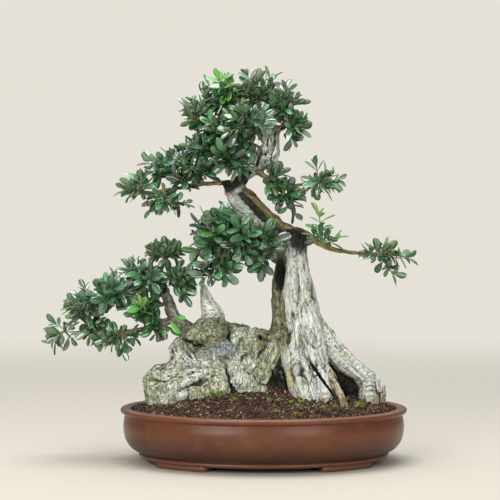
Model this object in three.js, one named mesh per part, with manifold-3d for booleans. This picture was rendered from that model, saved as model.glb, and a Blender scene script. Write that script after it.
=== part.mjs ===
// An old olive bonsai in its oval stoneware pot. Millimetres, +Z up, front towards -Y.
// The tree and the pot are described round the pot's centre, then the whole is moved along X
// so that the origin lies on the table under the middle of the spread.
import * as THREE from 'three';
import { mergeVertices } from 'three/addons/utils/BufferGeometryUtils.js';
import Module from 'manifold-3d';

const wasm = await Module();
wasm.setup();
const { Manifold, Mesh: SolidMesh } = wasm;

// ---------------------------------------------------------------- driving dimensions
const POT_X = 56;              // pot centre, right of the middle of the whole spread
const CLEARANCE = 0.35;        // gap between pieces that touch

const POT_HALF_WIDTH = 240;    // outside of the lip
const POT_HALF_DEPTH = 182.5;
const POT_HEIGHT = 92;
const POT_SEGMENTS = 32;
const FOOT_STEPS = 4;
const FOOT_HEIGHT = 8;
const FLOOR_UNDERSIDE = 11;
const FLOOR_TOP = 20;
const FLOOR_EDGE = 150;        // inside this half-width the oval narrows evenly to the centre
const LIP_INSIDE = 221;        // half-width of the lip's inner edge
const FOOT_OUTSIDE = 205;
const FOOT_INSIDE = 176;
const FOOT_START = 30;         // degrees from the pot's long axis
const FOOT_END = 62;
const FOOT_SUNK = 4;           // how far a foot runs up into the moulding
const INSIDE_WALL = [           // [half-width, height] from the middle of the floor up to the lip
  [0, FLOOR_TOP], [196, FLOOR_TOP], [223, 44], [226, 74], [LIP_INSIDE, 82], [LIP_INSIDE, POT_HEIGHT],
];
const DRAIN_RADIUS = 10;
const DRAIN_X = 90;

const SCREEN_SIDE = 36;
const SCREEN_THICKNESS = 1.4;
const SCREEN_HOLE = 11;
const SCREEN_ROW = 2;          // holes along one side

const SOIL_EDGE_HEIGHT = 88;
const SOIL_MOUND = 38;         // rise from the lip to the foot of the trunk
const SOIL_ROOT_MOUND = 8;     // extra soil heaped round the far right root
const SOIL_ROOT_AT = [192, -14];
const SOIL_ROOT_SPREAD = 34;

const LEAF_LENGTH = 24;
const LEAF_RATIO = 0.46;       // width of a leaf to its length
const LEAF_THICKNESS = 1.2;    // at the midrib
const LEAF_CUP = 1.1;          // how far the edges stand above the base
const LEAF_WIDEST = 0.56;      // share of its length at which a leaf is widest
const LEAF_LENGTH_SPREAD = 0.3;
const LEAN_SPREAD = 0.3;       // radians between the least and the most raised leaf of a whorl
const TIP_SPREAD = 0.55;       // radians between a shoot and the leaves at its tip
const LOWER_SPREAD = 1.15;
const BUD_HEIGHT = 2.4;        // the shoot's end above its last leaves
const WHORL_STEP = 9;          // from the leaves at the tip to the whorl below
const NOTCH_RADIUS = 1.7;      // twig at a whorl
const TWIG_RADIUS = 1.15;
const TWIG_SIDES = 4;
const STEM_RADIUS = 1.9;
const STEM_SIDES = 4;
const SHOOT_SHORT = 15;        // how far inside a clump's outside its shoots end
const TOP_SHOOT = 0.9;         // height of a clump's highest and lowest shoots, from -1 to 1
const LOW_SHOOT = -0.6;
const FORK_AT = 0.75;          // where a branchlet ends on its way to the clump's middle
const LEAF_SEED = 4107;
const SEEDS_A_SPRAY = 97;

// ---------------------------------------------------------------- materials
const finish = (color, roughness) => new THREE.MeshStandardMaterial({ color, roughness, metalness: 0 });
const stoneware = finish(0x7d4b37, 0.55);
const grit = finish(0x4a3129, 0.95);
const oldWood = finish(0xb5ac9b, 0.85);
const leafGreen = finish(0x2c4f2f, 0.4);
const screenPlastic = finish(0x23262a, 0.6);

// ---------------------------------------------------------------- solids and meshes
function solidOf(geometry) {
  geometry.deleteAttribute('normal');
  geometry.deleteAttribute('uv');
  const merged = mergeVertices(geometry, 1e-4);
  const corners = [];
  for (let i = 0; i < merged.index.count; i += 3) {
    const [a, b, c] = [0, 1, 2].map((k) => merged.index.getX(i + k));
    if (a !== b && b !== c && c !== a) corners.push(a, b, c);
  }
  const mesh = new SolidMesh({
    numProp: 3,
    vertProperties: new Float32Array(merged.attributes.position.array),
    triVerts: new Uint32Array(corners),
  });
  return new Manifold(mesh);
}

function meshOf(name, solid, material) {
  const { vertProperties, triVerts } = solid.getMesh();
  const geometry = new THREE.BufferGeometry();
  geometry.setAttribute('position', new THREE.BufferAttribute(vertProperties, 3));
  geometry.setIndex(new THREE.BufferAttribute(triVerts, 1));
  geometry.computeVertexNormals();
  const mesh = new THREE.Mesh(geometry, material);
  mesh.name = name;
  return mesh;
}

const largest = (solid) => solid.decompose().sort((a, b) => b.volume() - a.volume())[0];

function seeded(seed) {
  let state = seed >>> 0;
  return () => {
    state = (state + 0x6d2b79f5) >>> 0;
    let t = state;
    t = Math.imul(t ^ (t >>> 15), t | 1);
    t ^= t + Math.imul(t ^ (t >>> 7), t | 61);
    return ((t ^ (t >>> 14)) >>> 0) / 4294967296;
  };
}

// ---------------------------------------------------------------- pot, screens and soil
// A circle of half-width r becomes an oval whose wall keeps its thickness all round.
const OVAL_STEP = POT_HALF_WIDTH - POT_HALF_DEPTH;
const depthOf = (r) => (r > FLOOR_EDGE ? r - OVAL_STEP : (r * (FLOOR_EDGE - OVAL_STEP)) / FLOOR_EDGE);

function ovalPoint(r, degrees) {
  const angle = THREE.MathUtils.degToRad(degrees);
  return new THREE.Vector2(r * Math.cos(angle), depthOf(r) * Math.sin(angle));
}

// Turns a profile of [half-width, height] pairs, listed from the axis outwards and up.
function ovalLathe(profile, heightAt = (x, y, z) => z) {
  const points = profile.map(([r, z]) => new THREE.Vector2(r, z));
  const geometry = new THREE.LatheGeometry(points, POT_SEGMENTS);
  geometry.rotateX(Math.PI / 2);
  const position = geometry.attributes.position;
  for (let i = 0; i < position.count; i += 1) {
    const x = position.getX(i);
    const y = position.getY(i);
    const r = Math.hypot(x, y);
    const squash = r > 0 ? depthOf(r) / r : 1;
    position.setXYZ(i, x, y * squash, heightAt(x, y * squash, position.getZ(i)));
  }
  return solidOf(geometry);
}

function makeFoot(startDegrees, endDegrees) {
  const outer = [];
  const inner = [];
  for (let i = 0; i <= FOOT_STEPS; i += 1) {
    const degrees = THREE.MathUtils.lerp(startDegrees, endDegrees, i / FOOT_STEPS);
    outer.push(ovalPoint(FOOT_OUTSIDE, degrees));
    inner.unshift(ovalPoint(FOOT_INSIDE, degrees));
  }
  const outline = new THREE.Shape([...outer, ...inner]);
  const depth = FOOT_HEIGHT + FOOT_SUNK;
  return solidOf(new THREE.ExtrudeGeometry(outline, { depth, bevelEnabled: false }));
}

function makePot() {
  const underside = [[0, FLOOR_UNDERSIDE], [193, FLOOR_UNDERSIDE], [194, FOOT_HEIGHT]];
  const footRing = [[207, FOOT_HEIGHT], [211, 12], [207, 17.5]];
  const belly = [[213, 18.5], [222.5, 24.7], [231, 35.4], [235.5, 54], [234, 82]];
  const lip = [
    [POT_HALF_WIDTH, 84], [POT_HALF_WIDTH, 90.5], [238.5, POT_HEIGHT], [LIP_INSIDE, POT_HEIGHT],
  ];
  const inside = INSIDE_WALL.toReversed().slice(1);
  const body = ovalLathe([...underside, ...footRing, ...belly, ...lip, ...inside]);
  const feet = [0, 180].flatMap((turn) => [
    makeFoot(turn + FOOT_START, turn + FOOT_END),
    makeFoot(turn - FOOT_END, turn - FOOT_START),
  ]);
  const drill = (x) => {
    const bit = new THREE.CylinderGeometry(DRAIN_RADIUS, DRAIN_RADIUS, FLOOR_TOP, 16);
    return solidOf(bit.rotateX(Math.PI / 2).translate(x, 0, FLOOR_UNDERSIDE));
  };
  return Manifold.union([body, ...feet]).subtract(drill(-DRAIN_X)).subtract(drill(DRAIN_X));
}

const block = (x, y, z, wide, high) => (
  solidOf(new THREE.BoxGeometry(wide, wide, high).translate(x, y, z))
);

function makeScreen(x) {
  const z = FLOOR_TOP + CLEARANCE + SCREEN_THICKNESS / 2;
  const pitch = SCREEN_SIDE / (SCREEN_ROW + 0.5);
  let plate = block(x, 0, z, SCREEN_SIDE, SCREEN_THICKNESS);
  const middle = (SCREEN_ROW - 1) / 2;
  for (let i = 0; i < SCREEN_ROW; i += 1) {
    for (let j = 0; j < SCREEN_ROW; j += 1) {
      const at = [x + (i - middle) * pitch, (j - middle) * pitch];
      plate = plate.subtract(block(...at, z, SCREEN_HOLE, 2 * SCREEN_THICKNESS));
    }
  }
  return plate;
}

function screenPocket(x) {
  const height = SCREEN_THICKNESS + 2 * CLEARANCE;
  return block(x, 0, FLOOR_TOP + CLEARANCE, SCREEN_SIDE + 2 * CLEARANCE, 2 * height);
}

// The mound is highest in the middle; the heap round the far root dies out before the lip.
function soilHeight(x, y) {
  const reach = (x / LIP_INSIDE) ** 2 + (y / depthOf(LIP_INSIDE)) ** 2;
  const inward = Math.max(0, 1 - reach);
  const away = Math.hypot(x - SOIL_ROOT_AT[0], y - SOIL_ROOT_AT[1]) / SOIL_ROOT_SPREAD;
  const heap = Math.exp(-away * away) * Math.min(1, 6 * inward);
  return SOIL_EDGE_HEIGHT + SOIL_MOUND * inward + SOIL_ROOT_MOUND * heap;
}

// The soil's own profile lies just inside the pot's, and each of its top rings is lifted to the mound.
function makeSoil(standingWood) {
  const walls = INSIDE_WALL.slice(0, -1).map(([r, z]) => [
    r > 0 ? r - CLEARANCE * 1.5 : 0,
    z === FLOOR_TOP ? z + CLEARANCE : z,
  ]);
  const topRings = [LIP_INSIDE - CLEARANCE, 195, 150, 90, 0].map((r) => [r, POT_HEIGHT]);
  const lifted = (x, y, z) => (z === POT_HEIGHT ? soilHeight(x, y) : z);
  const pockets = Manifold.union(screenPocket(-DRAIN_X), screenPocket(DRAIN_X));
  return largest(ovalLathe([...walls, ...topRings], lifted).subtract(pockets).subtract(standingWood));
}

// ---------------------------------------------------------------- wood
// Every strand of wood is a tapered tube: [x, y, z, radius] along its middle.
const FLUTES = [                // the trunk's muscles, each running down into its root
  [[46, -2, 384, 8], [36, -4, 335, 16], [31, -4, 290, 18], [31, -8, 234, 18], [18, -18, 196, 18],
    [-3, -34, 152, 18], [-8, -42, 94, 11]],
  [[52, -8, 384, 9], [46, -18, 330, 14], [44, -24, 280, 17], [48, -30, 225, 19], [49, -44, 168, 18],
    [58, -62, 122, 13], [73, -79, 84, 7]],
  [[60, -6, 380, 9], [58, -16, 330, 14], [65, -24, 280, 17], [77, -34, 222, 20], [89, -49, 165, 20],
    [98, -63, 122, 16], [106, -74, 82, 8]],
  [[62, 0, 378, 8], [61, -3, 330, 13], [70, -6, 284, 16], [81, -10, 236, 18], [102, -13, 198, 23],
    [140, -18, 164, 18], [172, -18, 143, 13], [190, -16, 124, 15], [194, -14, 86, 9]],
  [[96, -46, 160, 12], [118, -68, 136, 8], [134, -82, 96, 5]],
  [[50, 10, 382, 9], [43, 20, 320, 16], [38, 28, 262, 20], [30, 38, 208, 22], [14, 52, 150, 22],
    [-2, 68, 87, 10]],
  [[62, 8, 380, 9], [60, 20, 320, 16], [66, 30, 262, 20], [80, 40, 208, 22], [98, 58, 150, 21],
    [115, 75, 87, 10]],
  [[84, 20, 215, 18], [118, 33, 176, 18], [152, 43, 132, 13], [168, 48, 96, 9]],
  [[56, 4, 300, 24], [62, 4, 220, 36], [68, 4, 130, 42], [68, 4, 72, 22]],
  [[92, -8, 226, 10], [104, -10, 216, 9]],
  [[100, 2, 168, 22], [128, 6, 138, 20], [158, 8, 104, 13]],
  [[176, -20, 142, 12], [178, -22, 114, 20], [180, -20, 84, 18]],
  [[56, -54, 166, 16], [70, -68, 120, 16], [84, -76, 84, 12]],
];

const BURL = [                  // lobes of the old stump at the left of the trunk
  [[-160, -14, 86, 26], [-170, -14, 130, 33], [-166, -8, 150, 18]],
  [[-172, -16, 122, 24], [-150, -22, 126, 35], [-110, -26, 129, 37], [-72, -24, 130, 32],
    [-40, -8, 140, 26]],
  [[-142, 0, 150, 20], [-136, 0, 172, 21], [-104, 4, 196, 36], [-52, 4, 196, 37], [14, 4, 184, 29]],
  [[-144, -18, 148, 17], [-142, -20, 189, 16]],
  [[-122, -14, 213, 16], [-100, -22, 218, 24], [-76, -20, 218, 22]],
  [[-152, -20, 152, 16], [-126, -26, 166, 19], [-96, -26, 170, 18], [-66, -20, 168, 15]],
  [[-84, -48, 142, 15], [-70, -50, 128, 16]],
  [[-68, -34, 190, 11], [-48, -34, 192, 10]],
  [[-140, -10, 96, 30], [-70, 2, 120, 42], [6, 0, 130, 34]],
  [[-146, 26, 104, 30], [-106, 42, 126, 38], [-30, 44, 130, 39], [34, 30, 132, 32]],
  [[-120, 22, 168, 26], [-70, 34, 186, 33], [-4, 28, 182, 30]],
  [[-100, 8, 196, 30], [-85, 6, 241, 20], [-93, 5, 263, 13], [-98, 4, 280, 9], [-100, 3, 291, 6]],
  [[-38, -32, 90, 22], [-36, -34, 140, 24], [-32, -14, 196, 30]],
  [[-10, -14, 196, 16], [-5, -28, 211, 9]],
];

const UPPER_TRUNK = [           // live vein, the dead slab beside it, and the crown's own trunk
  [[58, -6, 366, 12], [49, -6, 382, 9.5], [33, -5, 393, 8], [14, -3, 410, 7], [-4, 0, 428, 6.6],
    [-28, 3, 451, 7.2], [-48, 4, 462, 6.6], [-64, 2, 467, 5.2], [-92, 0, 466, 3.8], [-140, -6, 459, 3.2],
    [-204, -7, 449, 2.2]],
  [[50, 6, 364, 13], [24, 9, 382, 12], [-6, 12, 403, 13], [-34, 11, 430, 12], [-50, 9, 452, 9],
    [-62, 8, 465, 5]],
  [[-46, 5, 456, 11], [-30, 5, 480, 11], [-6, 3, 504, 13], [5, 0, 534, 9], [4, 1, 562, 7],
    [-10, 2, 600, 4]],
  [[-14, 2, 490, 9], [14, 2, 508, 10], [20, 1, 546, 6], [21, 0, 562, 3]],
  [[-25, 1, 482, 7], [-29, 0, 512, 3]],
  [[44, 2, 378, 9], [8, 5, 406, 9], [-23, 6, 438, 9], [-44, 7, 456, 8]],
];

const LIMBS = [                 // thinner branches that carry the sprays
  [[-20, 6, 490, 7], [-62, 8, 530, 5], [-100, 4, 562, 3]],
  [[-44, 7, 514, 5], [-82, -4, 519, 3]],
  [[16, 0, 545, 5.5], [36, -2, 568, 3.6]],
  [[0, -4, 540, 6], [-16, -38, 564, 3.6]],
  [[2, 6, 538, 6], [-8, 42, 564, 3.4]],
  [[4, 1, 580, 5], [-48, 0, 609, 3]],
  [[-128, -4, 460, 3.6], [-156, 6, 488, 2.6]],
  [[-22, 2, 412, 9], [-46, -38, 384, 5.2], [-72, -51, 350, 3]],
  [[2, 0, 394, 8], [0, -40, 362, 4.4], [3, -49, 346, 3]],
  [[-14, 14, 408, 8], [-34, 62, 384, 5], [-48, 75, 371, 3.2]],
  [[-26, 48, 392, 5], [-6, 80, 364, 2.8]],
  [[-116, 4, 212, 14], [-149, 0, 243, 10.5], [-165, -4, 282, 8.5], [-180, -6, 297, 7], [-250, -12, 280, 5],
    [-336, -6, 225, 2.6]],
  [[-168, -4, 288, 6.5], [-176, 2, 312, 5.5], [-161, 8, 346, 3.2]],
  [[-148, -2, 240, 8], [-198, -26, 225, 5], [-240, -35, 218, 2.8]],
  [[-170, -2, 290, 6], [-236, 47, 284, 3]],
  [[36, -8, 392, 7], [69, -20, 384, 5.2], [102, -17, 361, 4.4], [142, -13, 352, 3.6], [194, -6, 346, 2.4]],
  [[-10, -2, 488, 6], [36, -14, 446, 2.8]],
  [[10, -7, 469, 4.4], [50, -12, 462, 3.6], [92, -14, 475, 2.6]],
];

const TRUNK_SIDES = 6;
const LIMB_SIDES = 5;
const GNARL = 0.12;
const GNARL_TURN = 1.9;        // radians that the swellings turn by from ring to ring
const END_LENGTH = 0.6;        // how far a tube's end stands out, as a share of its radius

// A closed tube: a sphere's rows of vertices laid round a smooth path, its poles at the two ends.
// gnarl is how far its surface swells and sinks, as a share of its radius.
function tube(points, sides, steps, grow, gnarl) {
  const path = new THREE.CatmullRomCurve3(points.map(([x, y, z]) => new THREE.Vector3(x, y, z)));
  const { tangents, normals, binormals } = path.computeFrenetFrames(steps);
  const geometry = new THREE.SphereGeometry(1, sides, steps + 2);
  const position = geometry.attributes.position;
  const spans = points.length - 1;
  for (let row = 0; row <= steps + 2; row += 1) {
    const step = THREE.MathUtils.clamp(row - 1, 0, steps);
    const along = path.getUtoTmapping(step / steps) * spans;
    const from = Math.min(Math.floor(along), spans - 1);
    const radius = THREE.MathUtils.lerp(points[from][3], points[from + 1][3], along - from);
    const middle = path.getPointAt(step / steps);
    const end = (row > steps + 1 ? 1 : -1) * (radius * END_LENGTH + grow);
    const atPole = row === 0 || row === steps + 2;
    for (let side = 0; side <= sides; side += 1) {
      const angle = (-2 * Math.PI * (side % sides)) / sides;
      const place = middle.clone();
      if (atPole) place.addScaledVector(tangents[step], end);
      else {
        const swell = 1 + gnarl * Math.sin(2 * angle + GNARL_TURN * step + points[0][0]);
        place.addScaledVector(normals[step], (radius * swell + grow) * Math.cos(angle));
        place.addScaledVector(binormals[step], (radius * swell + grow) * Math.sin(angle));
      }
      position.setXYZ(row * (sides + 1) + side, place.x, place.y, place.z);
    }
  }
  return solidOf(geometry);
}

function makeWood(grow) {
  const strandsOf = (strands, sides, gnarl) => (
    strands.map((strand) => tube(strand, sides, strand.length - 1, grow, gnarl))
  );
  return largest(Manifold.union([
    ...strandsOf([...FLUTES, ...BURL, ...UPPER_TRUNK], TRUNK_SIDES, GNARL),
    ...strandsOf(LIMBS, LIMB_SIDES, 0),
  ]));
}

// ---------------------------------------------------------------- leafy sprays
// root: where the branchlet leaves its limb; heart: the middle of the clump; reach: its half-sizes;
// tips: ends of shoots that stand out of it; more: how many further shoots it has.
const SPRAYS = {
  crown_top: { root: [-8, 2, 596], heart: [-16, 0, 616], reach: [36, 42, 34],
    tips: [[10, 2, 640], [-26, -6, 643]], more: 2 },
  crown_peak: { root: [-46, 0, 608], heart: [-66, 0, 610], reach: [32, 42, 32],
    tips: [[-60, -6, 634], [-88, 6, 626]], more: 2 },
  crown_left: { root: [-96, 4, 559], heart: [-108, 4, 578], reach: [28, 40, 34],
    tips: [[-124, -6, 592], [-98, -10, 610]], more: 2 },
  crown_left_low: { root: [-80, -4, 519], heart: [-100, -8, 524], reach: [34, 36, 26],
    tips: [[-126, -8, 522], [-108, -16, 496]], more: 2 },
  crown_right_top: { root: [33, -2, 564], heart: [30, 0, 596], reach: [28, 42, 32],
    tips: [[36, -8, 622], [54, 4, 600]], more: 2 },
  crown_right: { root: [33, -2, 563], heart: [46, -6, 562], reach: [26, 36, 28],
    tips: [[60, -8, 560], [48, -12, 538]], more: 2 },
  crown_front: { root: [-15, -36, 563], heart: [-30, -52, 568], reach: [42, 30, 34],
    tips: [[-54, -66, 552], [-4, -74, 560]], more: 2 },
  crown_back: { root: [-7, 40, 562], heart: [-28, 56, 574], reach: [48, 32, 36],
    tips: [[-66, 64, 562], [12, 64, 560]], more: 2 },
  crown_under: { root: [-62, 2, 516], heart: [-56, -30, 504], reach: [34, 28, 30],
    tips: [[-36, -40, 494], [-66, -44, 516]], more: 1 },
  left_outer: { root: [-198, -7, 450], heart: [-208, -6, 458], reach: [30, 34, 22],
    tips: [[-230, -6, 456], [-206, -14, 472]], more: 1 },
  left_top: { root: [-154, 5, 485], heart: [-166, 2, 492], reach: [34, 40, 30],
    tips: [[-154, -4, 514], [-190, 6, 502]], more: 2 },
  left_low: { root: [-168, -7, 455], heart: [-164, -16, 438], reach: [34, 34, 26],
    tips: [[-184, -18, 426], [-132, -24, 434]], more: 1 },
  centre_left: { root: [-52, -41, 376], heart: [-86, -48, 378], reach: [30, 36, 34],
    tips: [[-102, -46, 396], [-106, -54, 358]], more: 1 },
  centre_low: { root: [-68, -49, 354], heart: [-70, -62, 336], reach: [38, 34, 30],
    tips: [[-96, -66, 312], [-64, -76, 316]], more: 2 },
  centre_mid: { root: [-40, -31, 390], heart: [-36, -62, 376], reach: [32, 30, 32],
    tips: [[-40, -76, 398], [-32, -82, 352]], more: 1 },
  centre_right: { root: [1, -46, 352], heart: [2, -62, 344], reach: [30, 30, 28],
    tips: [[14, -70, 326], [24, -60, 358]], more: 1 },
  back_left: { root: [-44, 71, 375], heart: [-66, 84, 366], reach: [40, 36, 32],
    tips: [[-96, 88, 352], [-70, 108, 346]], more: 2 },
  back_right: { root: [-9, 76, 367], heart: [-6, 92, 356], reach: [38, 34, 30],
    tips: [[24, 96, 346], [-12, 114, 342]], more: 1 },
  low_tip: { root: [-328, -7, 230], heart: [-336, -4, 214], reach: [34, 34, 26],
    tips: [[-352, -6, 200], [-348, -2, 232]], more: 2 },
  low_left: { root: [-294, -10, 252], heart: [-300, -16, 258], reach: [36, 42, 32],
    tips: [[-322, -16, 262], [-298, -20, 290]], more: 2 },
  low_mid: { root: [-250, -12, 280], heart: [-250, -30, 284], reach: [36, 40, 30],
    tips: [[-246, -30, 308], [-262, -58, 272]], more: 2 },
  low_back: { root: [-228, 41, 286], heart: [-250, 54, 282], reach: [42, 34, 32],
    tips: [[-282, 58, 272], [-248, 78, 272]], more: 2 },
  low_right: { root: [-192, -7, 294], heart: [-200, -26, 312], reach: [38, 40, 32],
    tips: [[-222, -28, 324], [-186, -56, 306]], more: 2 },
  low_heart: { root: [-158, -2, 262], heart: [-184, -20, 268], reach: [32, 36, 26],
    tips: [[-206, -40, 262], [-178, -46, 286]], more: 1 },
  low_top: { root: [-166, 6, 335], heart: [-164, 4, 350], reach: [34, 38, 22],
    tips: [[-146, 0, 352], [-186, -8, 356]], more: 1 },
  low_under: { root: [-232, -33, 219], heart: [-240, -40, 212], reach: [44, 34, 22],
    tips: [[-276, -42, 208], [-234, -56, 194]], more: 1 },
  low_inner: { root: [-190, -23, 227], heart: [-178, -40, 236], reach: [30, 28, 24],
    tips: [[-156, -46, 226], [-178, -56, 218]], more: 1 },
  right_near: { root: [33, -13, 448], heart: [40, -22, 446], reach: [26, 28, 28],
    tips: [[48, -18, 418], [18, -30, 478]], more: 2 },
  right_far: { root: [86, -13, 474], heart: [98, -14, 468], reach: [34, 34, 26],
    tips: [[88, -12, 492], [122, -16, 474]], more: 1 },
  low_right_near: { root: [98, -17, 363], heart: [98, -22, 374], reach: [26, 26, 18],
    tips: [[120, -22, 376], [82, -30, 382]], more: 0 },
  low_right_far: { root: [186, -7, 347], heart: [196, -8, 350], reach: [34, 30, 22],
    tips: [[240, -8, 342], [216, -8, 316]], more: 2 },
  crown_heart: { root: [-66, 5, 533], heart: [-72, -22, 552], reach: [34, 30, 30],
    tips: [[-52, -40, 548], [-88, -38, 566]], more: 1 },
  left_inner: { root: [-100, -1, 466], heart: [-112, -14, 490], reach: [36, 32, 26],
    tips: [[-130, -20, 506], [-92, -26, 498]], more: 2 },
  crown_low_right: { root: [1, -5, 477], heart: [14, -24, 476], reach: [22, 22, 18],
    tips: [[24, -30, 482], [8, -34, 466]], more: 0 },
  centre_top: { root: [-34, -18, 398], heart: [-58, -46, 406], reach: [36, 28, 20],
    tips: [[-92, -52, 408], [-46, -60, 416]], more: 1 },
  centre_near: { root: [0, -32, 368], heart: [16, -50, 378], reach: [24, 26, 24],
    tips: [[34, -54, 384], [14, -66, 392]], more: 1 },
  low_link: { root: [-173, 3, 318], heart: [-138, -22, 306], reach: [30, 32, 34],
    tips: [[-118, -24, 316], [-134, -42, 284]], more: 2 },
  low_fore: { root: [-309, -9, 243], heart: [-286, -22, 226], reach: [24, 26, 20],
    tips: [[-268, -26, 232], [-286, -34, 212]], more: 1 },
  crown_low_front: { root: [-8, -21, 552], heart: [-36, -36, 536], reach: [26, 26, 24],
    tips: [[-20, -44, 524], [-50, -46, 530]], more: 1 },
  low_middle: { root: [-196, -25, 226], heart: [-206, -34, 256], reach: [26, 28, 22],
    tips: [[-222, -40, 262], [-196, -52, 250]], more: 1 },
  left_link: { root: [-128, -4, 461], heart: [-134, -18, 472], reach: [24, 26, 20],
    tips: [[-120, -30, 462], [-146, -28, 480]], more: 0 },
};

const SHOOT_STARTS = [0.5, 0.75, 1];   // how far along the branchlet its shoots begin, in turn
const GOLDEN_ANGLE = Math.PI * (3 - Math.sqrt(5));
const vector = (x, y, z) => new THREE.Vector3(x, y, z);
const between = (a, b, share) => a.clone().lerp(b, share);

// Ends of a clump's shoots: the chosen ones first, then more spread evenly over its outside.
function shootTips({ heart, reach, tips, more }) {
  const found = tips.map((tip) => vector(...tip));
  for (let k = 0; k < more; k += 1) {
    const height = THREE.MathUtils.lerp(TOP_SHOOT, LOW_SHOOT, (k + 0.5) / more);
    const across = Math.sqrt(1 - height * height);
    const angle = GOLDEN_ANGLE * (k + 1) + heart[0];
    const outside = [across * Math.cos(angle), across * Math.sin(angle), height];
    const place = heart.map((middle, axis) => middle + (reach[axis] - SHOOT_SHORT) * outside[axis]);
    found.push(vector(...place));
  }
  return found;
}

// Directions across a shoot: level, and at right angles to that.
function frameOf(along) {
  const level = Math.abs(along.z) > 0.9 ? vector(1, 0, 0) : vector(0, 0, 1);
  const across = level.cross(along).normalize();
  return { across, above: vector().crossVectors(along, across) };
}

const aroundShoot = ({ across, above }, angle) => (
  across.clone().multiplyScalar(Math.cos(angle)).addScaledVector(above, Math.sin(angle))
);

// Two whorls of leaves: one at the shoot's tip and a wider one below it, turned by half a side.
function shootLeaves({ tip, along, frame, seed }) {
  const random = seeded(seed);
  const turn = random() * Math.PI;
  const whorls = [TIP_SPREAD, LOWER_SPREAD].map((spread, whorl) => {
    const base = tip.clone().addScaledVector(along, -WHORL_STEP * whorl);
    return Array.from({ length: TWIG_SIDES }, (_, leaf) => {
      const out = aroundShoot(frame, turn + (2 * Math.PI * (leaf + 0.5 + 0.5 * whorl)) / TWIG_SIDES);
      const lean = spread + LEAN_SPREAD * (random() - 0.5);
      const forward = along.clone().multiplyScalar(Math.cos(lean)).addScaledVector(out, Math.sin(lean));
      const up = along.clone().multiplyScalar(Math.sin(lean)).addScaledVector(out, -Math.cos(lean));
      const length = LEAF_LENGTH * (1 + LEAF_LENGTH_SPREAD * (random() - 0.5));
      const side = vector().crossVectors(up, forward);
      return { base, forward, up, side, length, width: length * LEAF_RATIO };
    });
  });
  return { turn, whorls };
}

// Corners of a leaf beyond its base: its two edges and its tip.
function leafCorners({ base, forward, up, side, length, width }, grow) {
  const at = (share, sideways, high) => base.clone()
    .addScaledVector(forward, share * (length + grow))
    .addScaledVector(side, sideways * (width / 2 + grow))
    .addScaledVector(up, high);
  return [at(LEAF_WIDEST, -1, LEAF_CUP), at(1, 0, 0), at(LEAF_WIDEST, 1, LEAF_CUP)];
}

function closedSolid(places, index) {
  const geometry = new THREE.BufferGeometry();
  const numbers = places.flatMap((p) => [p.x, p.y, p.z]);
  geometry.setAttribute('position', new THREE.Float32BufferAttribute(numbers, 3));
  geometry.setIndex(index);
  return solidOf(geometry);
}

// One leaf by itself, a little larger all round, for telling what it would touch.
function looseLeaf(leaf) {
  const rib = leaf.base.clone().addScaledVector(leaf.forward, LEAF_WIDEST * leaf.length);
  const over = rib.clone().addScaledVector(leaf.up, LEAF_THICKNESS);
  const under = rib.clone().addScaledVector(leaf.up, -2 * CLEARANCE);
  const ring = [leaf.base, ...leafCorners(leaf, CLEARANCE)];
  const index = ring.flatMap((corner, i) => [4, i, (i + 1) % 4, 5, (i + 1) % 4, i]);
  return closedSolid([...ring, over, under], index);
}

// A shoot is one closed skin: a four-sided twig whose sides open into leaves at two heights.
function shootSolid({ tip, along, frame, start }, turn, whorls) {
  const places = [tip.clone().addScaledVector(along, BUD_HEIGHT)];
  const index = [];
  const ringAt = (middle, radius, twist) => {
    const first = places.length;
    for (let i = 0; i < TWIG_SIDES; i += 1) {
      const out = aroundShoot(frame, turn + (2 * Math.PI * (i + twist)) / TWIG_SIDES);
      places.push(middle.clone().addScaledVector(out, radius));
    }
    return Array.from({ length: TWIG_SIDES }, (_, i) => first + i);
  };
  const addLeaf = (leaf) => {
    const first = places.length;
    places.push(...leafCorners(leaf, 0));
    return [first, first + 1, first + 2];
  };
  const wall = (upper, lower) => upper.forEach((corner, i) => {
    const j = (i + 1) % TWIG_SIDES;
    index.push(corner, lower[i], lower[j], corner, lower[j], upper[j]);
  });

  const lowerBase = tip.clone().addScaledVector(along, -WHORL_STEP);
  const tipRing = ringAt(tip, NOTCH_RADIUS, 0);
  whorls[0].forEach((leaf, i) => {
    const [before, after] = [tipRing[i], tipRing[(i + 1) % TWIG_SIDES]];
    if (!leaf) {
      index.push(0, before, after);
      return;
    }
    const [right, end, left] = addLeaf(leaf);
    index.push(0, before, right, 0, right, end, 0, end, left, 0, left, after);
    index.push(before, end, right, before, after, end, after, left, end);
  });

  const above = ringAt(lowerBase.clone().addScaledVector(along, 1), NOTCH_RADIUS, 0.5);
  const below = ringAt(lowerBase.clone().addScaledVector(along, -1), NOTCH_RADIUS, 0.5);
  wall(tipRing, above);
  whorls[1].forEach((leaf, i) => {
    const j = (i + 1) % TWIG_SIDES;
    const [a, b, c, d] = [above[i], above[j], below[j], below[i]];
    if (!leaf) {
      index.push(a, d, c, a, c, b);
      return;
    }
    const [right, end, left] = addLeaf(leaf);
    index.push(a, right, end, a, end, b, b, end, left, a, d, right);
    index.push(d, end, right, d, c, end, c, left, end, b, left, c);
  });
  const root = ringAt(start, TWIG_RADIUS, 0.5);
  wall(below, root);
  index.push(root[0], root[2], root[1], root[0], root[3], root[2]);
  return closedSolid(places, index);
}

const boxesMeet = (a, b) => [0, 1, 2].every((k) => a.min[k] <= b.max[k] && b.min[k] <= a.max[k]);

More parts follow.
